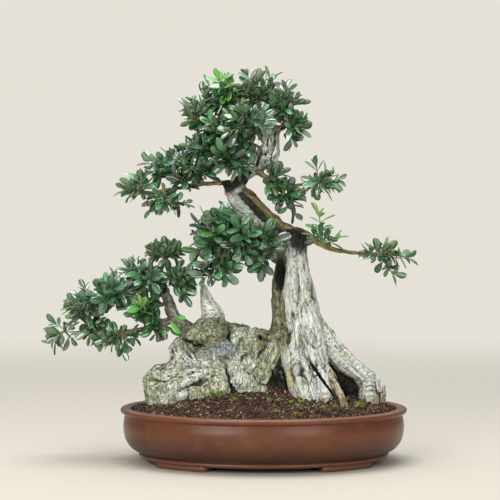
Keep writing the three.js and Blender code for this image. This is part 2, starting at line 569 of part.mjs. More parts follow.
function makeSprays(fatWood) {
  const taken = [];              // what has been placed so far, a little larger all round
  const take = (fat, spray, shoot) => taken.push({ fat, spray, shoot, box: fat.boundingBox() });
  const isClear = (solid, mayTouch) => {
    const box = solid.boundingBox();
    return taken.every((other) => mayTouch(other) || !boxesMeet(other.box, box)
      || solid.intersect(other.fat).isEmpty());
  };
  const rod = (ends, radius, sides, grow) => (
    tube(ends.map((p) => [p.x, p.y, p.z, radius]), sides, 1, grow, 0)
  );

  const sprays = Object.entries(SPRAYS).map(([name, spray], sprayIndex) => {
    const root = vector(...spray.root);
    const fork = between(root, vector(...spray.heart), FORK_AT);
    take(rod([root, fork], STEM_RADIUS, STEM_SIDES, CLEARANCE), name);
    const shoots = shootTips(spray).map((tip, shootIndex) => {
      const start = between(root, fork, SHOOT_STARTS[shootIndex % SHOOT_STARTS.length]);
      const along = tip.clone().sub(start).normalize();
      const seed = LEAF_SEED + SEEDS_A_SPRAY * sprayIndex + shootIndex;
      return { tip, start, along, frame: frameOf(along), seed, id: `${name} ${shootIndex}` };
    });
    return { name, shoots, solids: [rod([root, fork], STEM_RADIUS, STEM_SIDES, 0)] };
  });

  sprays.forEach((spray) => {
    spray.shoots = spray.shoots.filter((shoot) => {
      const twig = rod([shoot.start, shoot.tip], NOTCH_RADIUS, TWIG_SIDES, CLEARANCE);
      const fits = isClear(twig, (other) => other.spray === spray.name);
      if (fits) take(twig, spray.name, shoot.id);
      return fits;
    });
  });

  sprays.forEach(({ name, shoots, solids }) => {
    shoots.forEach((shoot) => {
      const { turn, whorls } = shootLeaves(shoot);
      const fitting = whorls.map((whorl) => whorl.map((leaf) => {
        const loose = looseLeaf(leaf);
        const fits = isClear(loose, (other) => other.shoot === shoot.id)
          && loose.intersect(fatWood).isEmpty();
        if (fits) take(loose, name, shoot.id);
        return fits ? leaf : null;
      }));
      solids.push(shootSolid(shoot, turn, fitting));
    });
  });

  return sprays.map(({ name, solids }) => (
    meshOf(`spray_${name}`, largest(Manifold.union(solids).subtract(fatWood)), leafGreen)
  ));
}

// ---------------------------------------------------------------- the whole object
const fatWood = makeWood(CLEARANCE);
const pot = new THREE.Group();
pot.add(meshOf('pot', makePot(), stoneware));
pot.add(meshOf('drainage_screen_left', makeScreen(-DRAIN_X), screenPlastic));
pot.add(meshOf('drainage_screen_right', makeScreen(DRAIN_X), screenPlastic));
pot.add(meshOf('soil', makeSoil(fatWood), grit));

const tree = new THREE.Group();
tree.add(meshOf('trunk', makeWood(0), oldWood));
makeSprays(fatWood).forEach((spray) => tree.add(spray));

const bonsai = new THREE.Group();
bonsai.position.x = POT_X;
bonsai.add(pot, tree);

export default bonsai;
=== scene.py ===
# %% [markdown] # An old olive bonsai in its oval pot A bonsai is two things at once: a piece of very
# old wood, and a young plant that lives on it. Each part of it asks for another way of modelling.
# The wood is grown as a volume, because lumps that run into each other are hard to draw as one skin.
# The leaves are all one shape, placed by a rule. The pot is thrown, so it is turned from a profile.

# %% Load the measured model
import math

import bpy
import numpy as np
import openvdb
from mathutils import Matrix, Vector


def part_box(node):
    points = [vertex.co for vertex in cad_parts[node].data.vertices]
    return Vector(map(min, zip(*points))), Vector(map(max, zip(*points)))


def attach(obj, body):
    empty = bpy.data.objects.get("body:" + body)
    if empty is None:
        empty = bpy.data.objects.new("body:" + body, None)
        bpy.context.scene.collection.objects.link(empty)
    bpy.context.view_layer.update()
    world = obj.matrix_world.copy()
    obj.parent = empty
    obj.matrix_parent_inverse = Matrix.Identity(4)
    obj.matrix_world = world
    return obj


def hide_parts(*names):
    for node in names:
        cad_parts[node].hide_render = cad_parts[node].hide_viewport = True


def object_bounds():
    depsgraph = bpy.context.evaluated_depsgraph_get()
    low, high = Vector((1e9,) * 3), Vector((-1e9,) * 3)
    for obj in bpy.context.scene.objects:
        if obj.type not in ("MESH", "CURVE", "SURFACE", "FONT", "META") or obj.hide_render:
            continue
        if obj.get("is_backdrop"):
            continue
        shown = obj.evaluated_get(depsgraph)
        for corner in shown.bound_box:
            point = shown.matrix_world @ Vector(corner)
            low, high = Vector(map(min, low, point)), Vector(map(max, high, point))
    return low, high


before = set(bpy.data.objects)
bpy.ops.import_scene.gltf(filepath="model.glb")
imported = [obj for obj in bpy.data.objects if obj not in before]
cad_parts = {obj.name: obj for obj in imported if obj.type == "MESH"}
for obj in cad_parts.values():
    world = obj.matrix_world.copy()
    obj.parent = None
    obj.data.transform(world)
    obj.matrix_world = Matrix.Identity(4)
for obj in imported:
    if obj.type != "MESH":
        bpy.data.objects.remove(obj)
cad_box = [list(corner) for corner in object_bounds()]
print("nodes:", len(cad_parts), "box:", [[round(v, 3) for v in corner] for corner in cad_box])

# %% [markdown]
# The sizes below are in millimetres round the middle of the pot, because that is how a potter and a
# grower would measure them. Blender works in metres, so one small function turns the first into the
# second, and it is used only when a mesh is made.

# %% From millimetres round the pot to metres in the scene
MM = 0.001
pot_low, pot_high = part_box("pot")
POT_X = (pot_low.x + pot_high.x) / 2 / MM
POT_HALF_WIDTH = (pot_high.x - pot_low.x) / 2 / MM
POT_HALF_DEPTH = (pot_high.y - pot_low.y) / 2 / MM
POT_HEIGHT = pot_high.z / MM


def in_metres(points):
    return (np.asarray(points, float) + [POT_X, 0, 0]) * MM


pot_size = [round(size) for size in (2 * POT_HALF_WIDTH, 2 * POT_HALF_DEPTH, POT_HEIGHT)]
print("the pot measures", pot_size, "mm and its middle is at x", round(POT_X))

# %% [markdown]
# ## Camera and light
# The tree is seen from a little above the rim, from far away through a long lens, so that near and
# far branches keep their true sizes. Three wide, soft lamps give it form: a strong one at the left, a
# weak one at the right, and one above that lights the tops.

# %% Camera
SENSOR_WIDTH, LENS = 36.0, 144.58        # millimetres
CAMERA_SIDE, CAMERA_AWAY, CAMERA_HEIGHT = -0.0229, 3.358, 0.497
CAMERA_DOWN = 2.424                      # degrees below level
camera_data = bpy.data.cameras.new("portrait_lens")
camera_data.sensor_width = SENSOR_WIDTH
camera_data.lens = LENS
camera = bpy.data.objects.new("portrait_camera", camera_data)
camera.location = (POT_X * MM + CAMERA_SIDE, -CAMERA_AWAY, CAMERA_HEIGHT)
camera.rotation_euler = (math.radians(90 - CAMERA_DOWN), 0, 0)
bpy.context.scene.collection.objects.link(camera)
bpy.context.scene.camera = camera
print("camera:", [round(v, 3) for v in camera.location], "lens", camera_data.lens)


# %% Lamps
LAMP_TARGET = (0.0, 0.0, 0.3)
LAMPS = [  # name, place, size, power and tint
    ("window_left", (-1.45, -2.75, 1.35), 1.7, 65, (1.0, 0.98, 0.94)),
    ("window_right", (1.35, -2.75, 1.1), 1.3, 24, (0.97, 0.98, 1.0)),
    ("lamp_above", (0.0, -0.2, 2.5), 1.4, 56, (0.95, 0.98, 1.0)),
]


def add_lamp(name, place, size, power, tint):
    data = bpy.data.lights.new(name, "AREA")
    data.size = size
    data.energy = power
    data.color = tint
    lamp = bpy.data.objects.new(name, data)
    lamp.location = place
    aim = np.array(LAMP_TARGET) - np.array(place)
    flat = math.hypot(aim[0], aim[1])
    lamp.rotation_euler = (math.atan2(flat, -aim[2]), 0, math.atan2(-aim[0], aim[1]))
    bpy.context.scene.collection.objects.link(lamp)


for lamp in LAMPS:
    add_lamp(*lamp)

# %% [markdown]
# ## Writing materials as sums
# Every finish below is a small calculation over the surface, such as "pale wood, but darker in the
# cracks". Wiring that by hand hides the idea, so a `Wire` stands for one socket and does arithmetic:
# writing `1 - cracks * 0.6` adds the Math nodes that work it out.


# %% Colours and wires
def colour(code):
    """A colour picker's hex code as the linear colour that shaders work in."""
    parts = [int(code[i:i + 2], 16) / 255 for i in (0, 2, 4)]
    return (*[p / 12.92 if p < 0.04045 else ((p + 0.055) / 1.055) ** 2.4 for p in parts], 1.0)


class Wire:
    """One output socket that can be used in a sum."""

    def __init__(self, finish, socket):
        self.finish = finish
        self.socket = socket

    def _math(self, operation, *values):
        return self.finish.node("ShaderNodeMath", {"operation": operation}, dict(enumerate(values)))

    def __add__(self, other):
        return self._math("ADD", self, other)

    __radd__ = __add__

    def __mul__(self, other):
        return self._math("MULTIPLY", self, other)

    __rmul__ = __mul__

    def __sub__(self, other):
        return self._math("SUBTRACT", self, other)

    def __rsub__(self, other):
        return self._math("SUBTRACT", other, self)

    def limited(self):
        return self._math("MINIMUM", self._math("MAXIMUM", self, 0.0), 1.0)

    def size(self):
        return self._math("ABSOLUTE", self)

    def ramp(self, low, high):
        """0 below low and 1 above high, with a soft rise between."""
        settings = {"interpolation_type": "SMOOTHSTEP"}
        inputs = {"Value": self, "From Min": low, "From Max": high}
        return self.finish.node("ShaderNodeMapRange", settings, inputs)


print("white is", colour("ffffff"), "and mid grey", [round(v, 3) for v in colour("808080")])

# %% [markdown]
# All the nodes of one material or of the sky are a `Weave`. It has a short word for each kind of node
# that is used more than once: `noise` draws clouds, `tones` runs from a dark to a light colour, and
# `over` lays one more colour on top. A `Finish` is the weave of a material, whose `surface` names the
# sockets that vary.


# %% Weaves and finishes
class Weave:
    """The nodes of one tree, and short ways to make more of them."""

    def __init__(self, tree):
        self.tree = tree

    def feed(self, socket, value):
        if isinstance(value, Wire):
            self.tree.links.new(value.socket, socket)
        else:
            socket.default_value = value

    def node(self, kind, settings=None, inputs=None, output=0):
        made = self.tree.nodes.new(kind)
        for key, value in (settings or {}).items():
            if key == "stops":
                self._set_stops(made.color_ramp, value)
            else:
                setattr(made, key, value)
        for key, value in (inputs or {}).items():
            self.feed(made.inputs[key], value)
        return Wire(self, made.outputs[output])

    @staticmethod
    def _set_stops(ramp, stops):
        while len(ramp.elements) < len(stops):
            ramp.elements.new(1.0)
        for element, (place, colour) in zip(ramp.elements, stops):
            element.position = place
            element.color = colour

    def attribute(self, name, output="Fac"):
        return self.node("ShaderNodeAttribute", {"attribute_name": name}, output=output)

    def position(self):
        return self.node("ShaderNodeTexCoord", output="Object")

    def noise(self, where, scale, detail=3.0, roughness=0.55, distortion=0.0):
        inputs = {"Vector": where, "Scale": scale, "Detail": detail, "Roughness": roughness,
                  "Distortion": distortion}
        return self.node("ShaderNodeTexNoise", {}, inputs)

    def stretched(self, where, by):
        return self.node("ShaderNodeVectorMath", {"operation": "MULTIPLY"}, {0: where, 1: by})

    def blend(self, share, a, b, how="MIX"):
        """Colour a where share is 0 and colour b where it is 1."""
        made = self.tree.nodes.new("ShaderNodeMix")
        made.data_type = "RGBA"
        made.blend_type = how
        self.feed(made.inputs[0], share)
        self.feed(made.inputs[6], a)
        self.feed(made.inputs[7], b)
        return Wire(self, made.outputs[2])

    def tones(self, share, dark, light):
        """The dark colour where share is 0 and the light one where it is 1."""
        return self.blend(share, colour(dark), colour(light))

    def over(self, base, share, code, how="MIX"):
        """The base with one more colour laid over it where share is 1."""
        return self.blend(share, base, colour(code), how)

    def bump(self, height, distance, strength):
        inputs = {"Height": height, "Distance": distance, "Strength": strength}
        return self.node("ShaderNodeBump", {}, inputs)


class Finish(Weave):
    """A material being made: its Principled shader and the nodes that feed it."""

    def __init__(self, name, constants=None):
        self.material = bpy.data.materials.new(name)
        self.material.use_nodes = True
        super().__init__(self.material.node_tree)
        self.shader = self.tree.nodes["Principled BSDF"]
        for socket, value in (constants or {}).items():
            self.shader.inputs[socket].default_value = value

    def surface(self, sockets):
        for socket, value in sockets.items():
            self.feed(self.shader.inputs[socket], value)
        return self.material


print("words of a weave:", [word for word in vars(Weave) if not word.startswith("_")])

# %% [markdown]
# ### An overcast sky
# On a bright grey day most of the light falls from straight above, and that is what makes a glossy
# leaf flash and the belly of a pot turn dark underneath. So the sky glows more the higher it is. What
# the camera sees of it is one even pale tone, so that nothing behind the tree draws the eye.

# %% Sky
SKY_LOW, SKY_RISE, SKY_SEEN = 0.2, 0.95, 0.9


def make_sky():
    sky = bpy.data.worlds.new("overcast_sky")
    sky.use_nodes = True
    weave = Weave(sky.node_tree)
    direction = weave.node("ShaderNodeTexCoord", output="Generated")
    upward = weave.node("ShaderNodeSeparateXYZ", {}, {0: direction}, "Z")
    seen = weave.node("ShaderNodeLightPath", output="Is Camera Ray")
    glow = SKY_LOW + upward.ramp(0.0, 0.95) * SKY_RISE
    background = sky.node_tree.nodes["Background"]
    weave.feed(background.inputs["Strength"], glow * (1 - seen) + seen * SKY_SEEN)
    weave.feed(background.inputs["Color"], weave.tones(seen, "f0f5fa", "f1ece2"))
    bpy.context.scene.world = sky
    return sky


bpy.context.scene.view_settings.view_transform = "Standard"
print("sky:", make_sky().name, "with", SKY_RISE, "more light at the top than at the horizon")

# %% [markdown]
# ## Making a piece
# Meshes come from arrays of points and faces. A piece is made in one call: its points turn into
# metres and its values for the finish go into named attributes. A second call tells it which body it
# rides on and which measured nodes it stands for.


# %% From arrays to a piece
def make_piece(name, points, faces, finishes, values=None, finish_of_face=None):
    mesh = bpy.data.meshes.new(name)
    mesh.from_pydata(in_metres(points), [], faces)
    mesh.shade_smooth()
    for finish in finishes:
        mesh.materials.append(finish)
    if finish_of_face is not None:
        mesh.polygons.foreach_set("material_index", np.asarray(finish_of_face, np.int32))
    for key, value in (values or {}).items():
        value = np.asarray(value, np.float32)
        kind = "FLOAT" if value.ndim == 1 else "FLOAT_VECTOR"
        field = "value" if value.ndim == 1 else "vector"
        mesh.attributes.new(key, kind, "POINT").data.foreach_set(field, value.ravel())
    mesh.update()
    piece = bpy.data.objects.new(name, mesh)
    bpy.context.scene.collection.objects.link(piece)
    return piece


def settle(piece, slot, *nodes):
    """The piece rides on the one body and stands for measured nodes; the slot is not used."""
    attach(piece, "root")
    if nodes:
        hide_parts(*nodes)
    triangles = sum(len(face.vertices) - 2 for face in piece.data.polygons)
    print(f"{piece.name}: {triangles} triangles")


def faces_between(rings, around):
    """Four-sided faces that join closed rings of corners, one ring after another."""
    faces = []
    for row in range(rings - 1):
        for k in range(around):
            a, b = row * around + k, row * around + (k + 1) % around
            faces.append([a, b, b + around, a + around])
    return faces


def moved_on(faces, corners):
    """The same faces after so many other corners."""
    return [[corner + corners for corner in face] for face in faces]


print("faces between two rings of three corners:", faces_between(2, 3))

# %% [markdown]
# ## Roughness in numbers
# Wood, soil and clay are all uneven, so the mesh itself needs noise and not only the material. This
# is gradient noise: every whole-numbered corner of space gets a random slope, and a point takes a
# smooth blend of the slopes of the eight corners round it. A crease is where such noise passes
# through zero, which gives long wandering lines, like cracks.


# %% Gradient noise and creases
LATTICE = 64     # the noise repeats after this many cells
SLOPES = np.random.default_rng(5).normal(size=(LATTICE**3, 3)).astype(np.float32)
SLOPES /= np.linalg.norm(SLOPES, axis=1, keepdims=True)


def noise(points, seed=0):
    points = np.asarray(points, np.float32) + np.float32(seed) * np.float32((17.31, 5.77, 11.13))
    cell = np.floor(points)
    part = points - cell
    cell = cell.astype(np.int32) % LATTICE
    near = [(cell[:, k], (cell[:, k] + 1) % LATTICE) for k in range(3)]
    near[0] = [n * LATTICE**2 for n in near[0]]
    near[1] = [n * LATTICE for n in near[1]]
    x, y, z = part.T
    fade = part * part * part * (part * (part * 6 - 15) + 10)
    share = [(1 - fade[:, k], fade[:, k]) for k in range(3)]
    total = np.zeros(len(points), np.float32)
    for i, j, k in np.ndindex(2, 2, 2):
        slope = SLOPES[near[0][i] + near[1][j] + near[2][k]]
        height = (x - i) * slope[:, 0] + (y - j) * slope[:, 1] + (z - k) * slope[:, 2]
        total += share[0][i] * share[1][j] * share[2][k] * height
    return total


def crease(values, width):
    """1 along the lines where the noise passes through zero, falling to 0 at the width."""
    return np.clip(1 - np.abs(values) / width, 0, 1) ** 1.4


test = noise(np.random.default_rng(1).uniform(0, 50, (2000, 3)))
print("noise runs from", round(float(test.min()), 2), "to", round(float(test.max()), 2))

# %% [markdown]
# ## The old wood
# The trunk is a bundle: each root climbs it as a muscle of its own and the stump at its left is a
# heap of lobes. So the wood is described as strands, each a few points with a radius, and the strands
# are melted together. Melting meshes leaves ugly seams, so a volume is used: every point of a fine
# grid stores how far it is from the nearest wood, two strands are joined by a soft minimum, and
# cracks are cut by adding depth to that distance. OpenVDB then draws the skin where it is zero.

# %% Strands of the lower trunk and the stump: finish, then x, y, z and radius
LOWER_WOOD = [
    ("olive", [(46, -2, 384, 8), (36, -4, 335, 16), (31, -4, 290, 18), (31, -8, 234, 18), (18, -18, 196, 18),
               (-3, -34, 152, 18), (-8, -42, 94, 11)]),
    ("pale", [(52, -8, 384, 9), (46, -18, 330, 14), (44, -24, 280, 17), (48, -30, 225, 19),
              (49, -44, 168, 18), (58, -62, 122, 13), (73, -79, 84, 7)]),
    ("pale", [(60, -6, 380, 9), (58, -16, 330, 14), (65, -24, 280, 17), (77, -34, 222, 20),
              (89, -49, 165, 20), (98, -63, 122, 16), (106, -74, 82, 8)]),
    ("pale", [(62, 0, 378, 8), (61, -3, 330, 13), (70, -6, 284, 16), (81, -10, 236, 18), (102, -13, 198, 23),
              (140, -18, 164, 18), (172, -18, 143, 13), (190, -16, 124, 15), (194, -14, 86, 9)]),
    ("tan", [(96, -46, 160, 12), (118, -68, 136, 8), (134, -82, 96, 5)]),
    ("olive", [(50, 10, 382, 9), (43, 20, 320, 16), (38, 28, 262, 20), (30, 38, 208, 22), (14, 52, 150, 22),
               (-2, 68, 87, 10)]),
    ("pale", [(62, 8, 380, 9), (60, 20, 320, 16), (66, 30, 262, 20), (80, 40, 208, 22), (98, 58, 150, 21),
              (115, 75, 87, 10)]),
    ("pale", [(84, 20, 215, 18), (118, 33, 176, 18), (152, 43, 132, 13), (168, 48, 96, 9)]),
    # Near-black strands: partly rotten wood, partly painted shade in the grooves between strands and in the
    # cave between the roots
    ("rot", [(56, 4, 300, 24), (62, 4, 220, 36), (68, 4, 130, 42), (68, 4, 72, 22)]),
    ("lichen", [(92, -8, 226, 11), (107, -12, 217, 10)]),
    ("rot", [(100, 2, 168, 22), (128, 6, 138, 20), (158, 8, 104, 13)]),
    ("pale", [(176, -20, 142, 12), (178, -22, 114, 20), (180, -20, 84, 18)]),
    ("pale", [(56, -54, 166, 16), (70, -68, 120, 16), (84, -76, 84, 12)]),
    ("lichen", [(-160, -14, 86, 26), (-170, -14, 130, 33), (-166, -8, 150, 18)]),
    ("pale", [(-172, -16, 122, 24), (-150, -22, 126, 35), (-110, -26, 129, 37), (-72, -24, 130, 32),
              (-40, -8, 140, 26)]),
    ("mossy", [(-142, 0, 150, 20), (-136, 0, 172, 21), (-104, 4, 196, 36), (-52, 4, 196, 37),
               (14, 4, 184, 29)]),
    ("pale", [(-144, -18, 148, 17), (-142, -20, 189, 16)]),
    ("mossy", [(-122, -14, 213, 16), (-100, -22, 218, 24), (-76, -20, 218, 22)]),
    ("pale", [(-152, -20, 152, 16), (-126, -26, 166, 19), (-96, -26, 170, 18), (-66, -20, 168, 15)]),
    ("lichen", [(-84, -48, 142, 15), (-70, -50, 128, 16)]),
    # The bulge in the recess under the cap, painted in the recess's blue-grey shade
    ("slate", [(-68, -34, 190, 11), (-48, -34, 192, 10)]),
    ("pale", [(-140, -10, 96, 30), (-70, 2, 120, 42), (6, 0, 130, 34)]),
    ("lichen", [(-146, 26, 104, 30), (-106, 42, 126, 38), (-30, 44, 130, 39), (34, 30, 132, 32)]),
    ("lichen", [(-120, 22, 168, 26), (-70, 34, 186, 33), (-4, 28, 182, 30)]),
    ("pale", [(-38, -32, 90, 22), (-36, -34, 140, 24), (-32, -14, 196, 30)]),
    ("olive", [(-10, -14, 196, 16), (-5, -28, 211, 9)]),
]
DEAD_SPIKE = ("bleached", [(-100, 8, 196, 30), (-85, 6, 241, 20), (-93, 5, 263, 13), (-98, 4, 280, 9),
                           (-100, 3, 291, 6)])
LOWER_WOOD.append(DEAD_SPIKE)
print("strands in the lower wood:", len(LOWER_WOOD))

# %% Strands of the upper trunk and the branches
UPPER_WOOD = [
    ("golden", [(58, -6, 366, 12), (49, -6, 382, 9.5), (33, -5, 393, 8), (14, -3, 410, 7), (-4, 0, 428, 6.6),
                (-28, 3, 451, 7.2), (-48, 4, 462, 6.6), (-64, 2, 467, 5.2), (-92, 0, 466, 3.8),
                (-140, -6, 459, 3.2), (-204, -7, 449, 2.2)]),
    ("pale", [(50, 6, 364, 13), (22, 8, 381, 13), (-11, 9, 401, 15), (-39, 8, 428, 15), (-54, 8, 450, 11),
              (-62, 8, 465, 5)]),
    ("pale", [(-46, 5, 456, 11), (-30, 5, 480, 11), (-6, 3, 504, 13), (5, 0, 534, 9), (4, 1, 562, 7),
             (-10, 2, 600, 4)]),
    ("pale", [(-14, 2, 490, 9), (14, 2, 508, 10), (20, 1, 546, 6), (21, 0, 562, 3)]),
    ("bleached", [(-25, 1, 482, 7), (-29, 0, 512, 3)]),
    ("rot", [(42, 1, 377, 10), (5, 4, 404, 10.5), (-26, 5, 436, 11), (-45, 6, 456, 8)]),
    ("tan", [(-20, 6, 490, 7), (-62, 8, 530, 5), (-100, 4, 562, 3)]),
    ("tan", [(-44, 7, 514, 5), (-82, -4, 519, 3)]),
    ("tan", [(16, 0, 545, 5.5), (36, -2, 568, 3.6)]),
    ("tan", [(0, -4, 540, 6), (-16, -38, 564, 3.6)]),
    ("tan", [(2, 6, 538, 6), (-8, 42, 564, 3.4)]),
    ("tan", [(4, 1, 580, 5), (-48, 0, 609, 3)]),
    ("tan", [(-128, -4, 460, 3.6), (-156, 6, 488, 2.6)]),
    ("tan", [(-22, 2, 412, 9), (-46, -38, 384, 5.2), (-72, -51, 350, 3)]),
    ("tan", [(2, 0, 394, 8), (0, -40, 362, 4.4), (3, -49, 346, 3)]),
    ("tan", [(-14, 14, 408, 8), (-34, 62, 384, 5), (-48, 75, 371, 3.2)]),
    ("tan", [(-26, 48, 392, 5), (-6, 80, 364, 2.8)]),
    ("grey", [(-116, 4, 212, 14), (-149, 0, 243, 10.5), (-165, -4, 282, 8.5), (-180, -6, 297, 7),
              (-250, -12, 280, 5), (-336, -6, 225, 2.6)]),
    ("tan", [(-168, -4, 288, 6.5), (-176, 2, 312, 5.5), (-161, 8, 346, 3.2)]),
    ("tan", [(-148, -2, 240, 8), (-198, -26, 225, 5), (-240, -35, 218, 2.8)]),
    ("tan", [(-170, -2, 290, 6), (-236, 47, 284, 3)]),
    ("golden", [(36, -8, 392, 7), (69, -20, 384, 5.2), (102, -17, 361, 4.4), (142, -13, 352, 3.6),
                (194, -6, 346, 2.4)]),
    ("tan", [(-10, -2, 488, 6), (36, -14, 446, 2.8)]),
    ("tan", [(10, -7, 469, 4.4), (50, -12, 462, 3.6), (92, -14, 475, 2.6)]),
]
print("strands in the upper wood:", len(UPPER_WOOD))

# %% What decay and weather took away
HOLLOWS = [  # how soft the rim is, how many times deeper than wide, then x, y, z and radius
    (5, 1, [(30, -26, 352, 6), (25, -24, 318, 9), (24, -25, 286, 6)]),
    (5, 1, [(22, -30, 152, 10), (34, -42, 122, 12)]),
    (1, 1, [(-4, -44, 213, 4.6), (-6, -26, 208, 4.6)]),
    (5, 1, [(112, -58, 118, 8), (128, -40, 104, 9), (150, -26, 96, 9)]),
    (4, 1, [(-120, -34, 196, 4), (-104, -38, 192, 9), (-84, -38, 190, 8), (-72, -42, 202, 3)]),
    (2, 3, [(-57, -48, 160, 1.4), (-54, -50, 144, 2.0), (-52, -52, 128, 3.2), (-50, -52, 108, 6)]),
    (1.5, 1.5, [(-115, -58, 137, 1.0), (-104, -60, 139, 2.8), (-93, -61, 143, 1.6)]),
    (2, 3, [(79, -62, 168, 0.7), (100, -69, 140, 1.0), (111, -71, 124, 1.2), (122, -72, 106, 1.5)]),
    (3, 2, [(68, -27, 336, 2.2), (75, -31, 316, 3.0), (82, -28, 290, 3.2), (89, -32, 256, 2.4)]),
    (2, 2, [(-126, -36, 208, 1.4), (-122, -40, 188, 2.2), (-125, -44, 166, 1.4)]),
]
CRACKS = [  # long cracks, drawn as they are seen from the front: half-width, depth, then x and z
    (2.6, 5.9, [(-59, 233), (-57, 219), (-59, 209), (-52, 201), (-45, 195), (-39, 184)]),
    (2.4, 3.9, [(-136, 209), (-124, 205), (-116, 197), (-103, 198), (-92, 191)]),
    (2.0, 3.2, [(-69, 181), (-59, 176), (-44, 173), (-34, 178)]),
    (2.0, 3.2, [(-67, 198), (-57, 194), (-49, 191)]),
    (1.8, 3.9, [(-149, 203), (-146, 191), (-136, 178), (-123, 165)]),
    (1.8, 3.9, [(-138, 205), (-131, 191), (-124, 181), (-115, 170)]),
    (1.8, 3.9, [(-154, 193), (-147, 178), (-146, 168), (-151, 159)]),
    (1.6, 3.2, [(-131, 203), (-123, 191), (-113, 181), (-108, 170)]),
    (2.0, 3.9, [(-8, 173), (10, 168), (15, 150), (7, 132), (-11, 135), (-18, 153), (-8, 173)]),
    (3.0, 5.9, [(-65, 170), (-62, 155), (-58, 143), (-55, 126)]),
    (1.8, 3.2, [(-29, 199), (-34, 181), (-41, 163), (-46, 145), (-47, 130)]),
    (2.0, 3.9, [(-197, 136), (-182, 141), (-164, 138), (-151, 145), (-136, 153)]),
    (2.0, 3.9, [(-177, 118), (-162, 132), (-141, 145), (-115, 154), (-100, 161)]),
    (1.8, 3.2, [(-146, 115), (-136, 127), (-115, 135), (-103, 132), (-80, 135)]),
    (1.6, 3.2, [(-190, 115), (-187, 127), (-174, 138), (-169, 150)]),
    (1.6, 3.2, [(-90, 148), (-75, 150), (-67, 155)]),
    (1.6, 2.6, [(-110, 242), (-105, 227), (-110, 209)]),
    (1.6, 2.6, [(-85, 248), (-80, 230), (-85, 214), (-75, 204)]),
    (1.8, 3.9, [(12, 209), (5, 196), (-8, 184), (-13, 171)]),
    (1.8, 2.5, [(25, 204), (26, 186), (19, 171), (15, 163)]),
    (2.4, 4.0, [(57, 335), (56, 320), (59, 301), (58, 275), (53, 255)]),
    (2.4, 4.0, [(66, 353), (75, 331), (82, 309), (79, 279), (88, 264)]),
    (2.0, 3.0, [(40, 287), (45, 264), (51, 242), (54, 220)]),
    (1.8, 3.0, [(60, 246), (74, 227), (80, 205), (79, 190)]),
    (2.7, 4.0, [(60, 186), (74, 175), (88, 156), (103, 134), (117, 115), (132, 99)]),
    (1.8, 3.0, [(66, 287), (71, 268), (80, 250), (87, 231), (99, 212)]),
    (2.0, 3.0, [(42, 190), (45, 160), (51, 138), (59, 120)]),
    (2.0, 3.0, [(128, 190), (143, 168), (162, 146), (177, 127)]),
    (1.8, 2.5, [(91, 198), (102, 175), (117, 157), (125, 142)]),
    (1.6, 2.5, [(47, 309), (48, 287), (45, 268)]),
]
GROOVES = [  # dry splits in the dead wood of the crown
    (1.5, 3, [(-1, -4, 558, 1.1), (-5, -5, 526, 1.5), (-12, -8, 496, 1.2)]),
    (1.5, 3, [(6, -6, 560, 1.1), (6, -9, 530, 1.5), (2, -10, 500, 1.2)]),
    (1.5, 3, [(20, -4, 554, 1.2), (17, -6, 530, 1.7), (12, -8, 508, 1.3)]),
    (1.5, 3, [(12, -7, 556, 0.9), (12, -9, 530, 1.2), (8, -11, 506, 0.9)]),
    (1.5, 3, [(-18, -7, 500, 1.2), (-24, -6, 484, 1.6), (-32, -5, 468, 1.2)]),
]
print("hollows:", len(HOLLOWS), "grooves:", len(GROOVES), "cracks:", len(CRACKS))

# %% [markdown]
# A few points are not a branch yet. A Catmull-Rom curve passes through all of them and bends evenly
# between them, and the centripetal kind, whose steps follow the square root of the distance, never
# loops where two points lie close together.

# %% A smooth line through a strand's points
LINE_STEP = 9.0


def strand_line(strand):
    points = np.array(strand, float)
    padded = np.vstack([2 * points[0] - points[1], points, 2 * points[-1] - points[-2]])
    line = [points[0]]
    for before, start, end, after in zip(padded, padded[1:], padded[2:], padded[3:]):
        gaps = [max(1e-3, np.linalg.norm((b - a)[:3])) ** 0.5 for a, b in
                ((before, start), (start, end), (end, after))]
        leave = (start - before) / gaps[0] - (end - before) / (gaps[0] + gaps[1]) + (end - start) / gaps[1]
        arrive = (end - start) / gaps[1] - (after - start) / (gaps[1] + gaps[2]) + (after - end) / gaps[2]
        steps = max(1, math.ceil(gaps[1] ** 2 / LINE_STEP))
        for t in np.arange(1, steps + 1) / steps:
            place = ((2 * t**3 - 3 * t**2 + 1) * start + (t**3 - 2 * t**2 + t) * leave * gaps[1]
                     + (3 * t**2 - 2 * t**3) * end + (t**3 - t**2) * arrive * gaps[1])
            place[3] = start[3] + (end[3] - start[3]) * t
            line.append(place)
    return np.array(line)


print("the live vein has", len(strand_line(UPPER_WOOD[0][1])), "points")

# %% [markdown]
# Two strands melt together by a soft minimum. Where their distances differ by more than the width it
# is the plain minimum, and where they are equal it is a quarter of the width less, which fills the
# corner between them with wood. Turned upside down, the same sum cuts a hollow with a soft rim.


# %% Soft minimum
def soft_minimum(a, b, width):
    share = np.clip(0.5 + 0.5 * (b - a) / width, 0, 1)
    return b + (a - b) * share - width * share * (1 - share)


print("4 mm from two strands that melt over 8 mm, the wood is", soft_minimum(4.0, 4.0, 8.0), "mm away")

# %% [markdown]
# The grid is filled strand by strand. A strand is a row of short cones, and only the part of the grid
# round each cone is touched, which keeps a grid of millions of points quick. Beside the distance, the
# grid remembers which cone is the nearest. That says which way the grain runs at every point, and
# which finish the wood has there.

# %% Distance to the strands
REACH = 11.0   # how far from the wood the distance is worked out
FINISHES = ["pale", "olive", "lichen", "mossy", "golden", "grey", "slate", "rot", "bleached", "tan"]


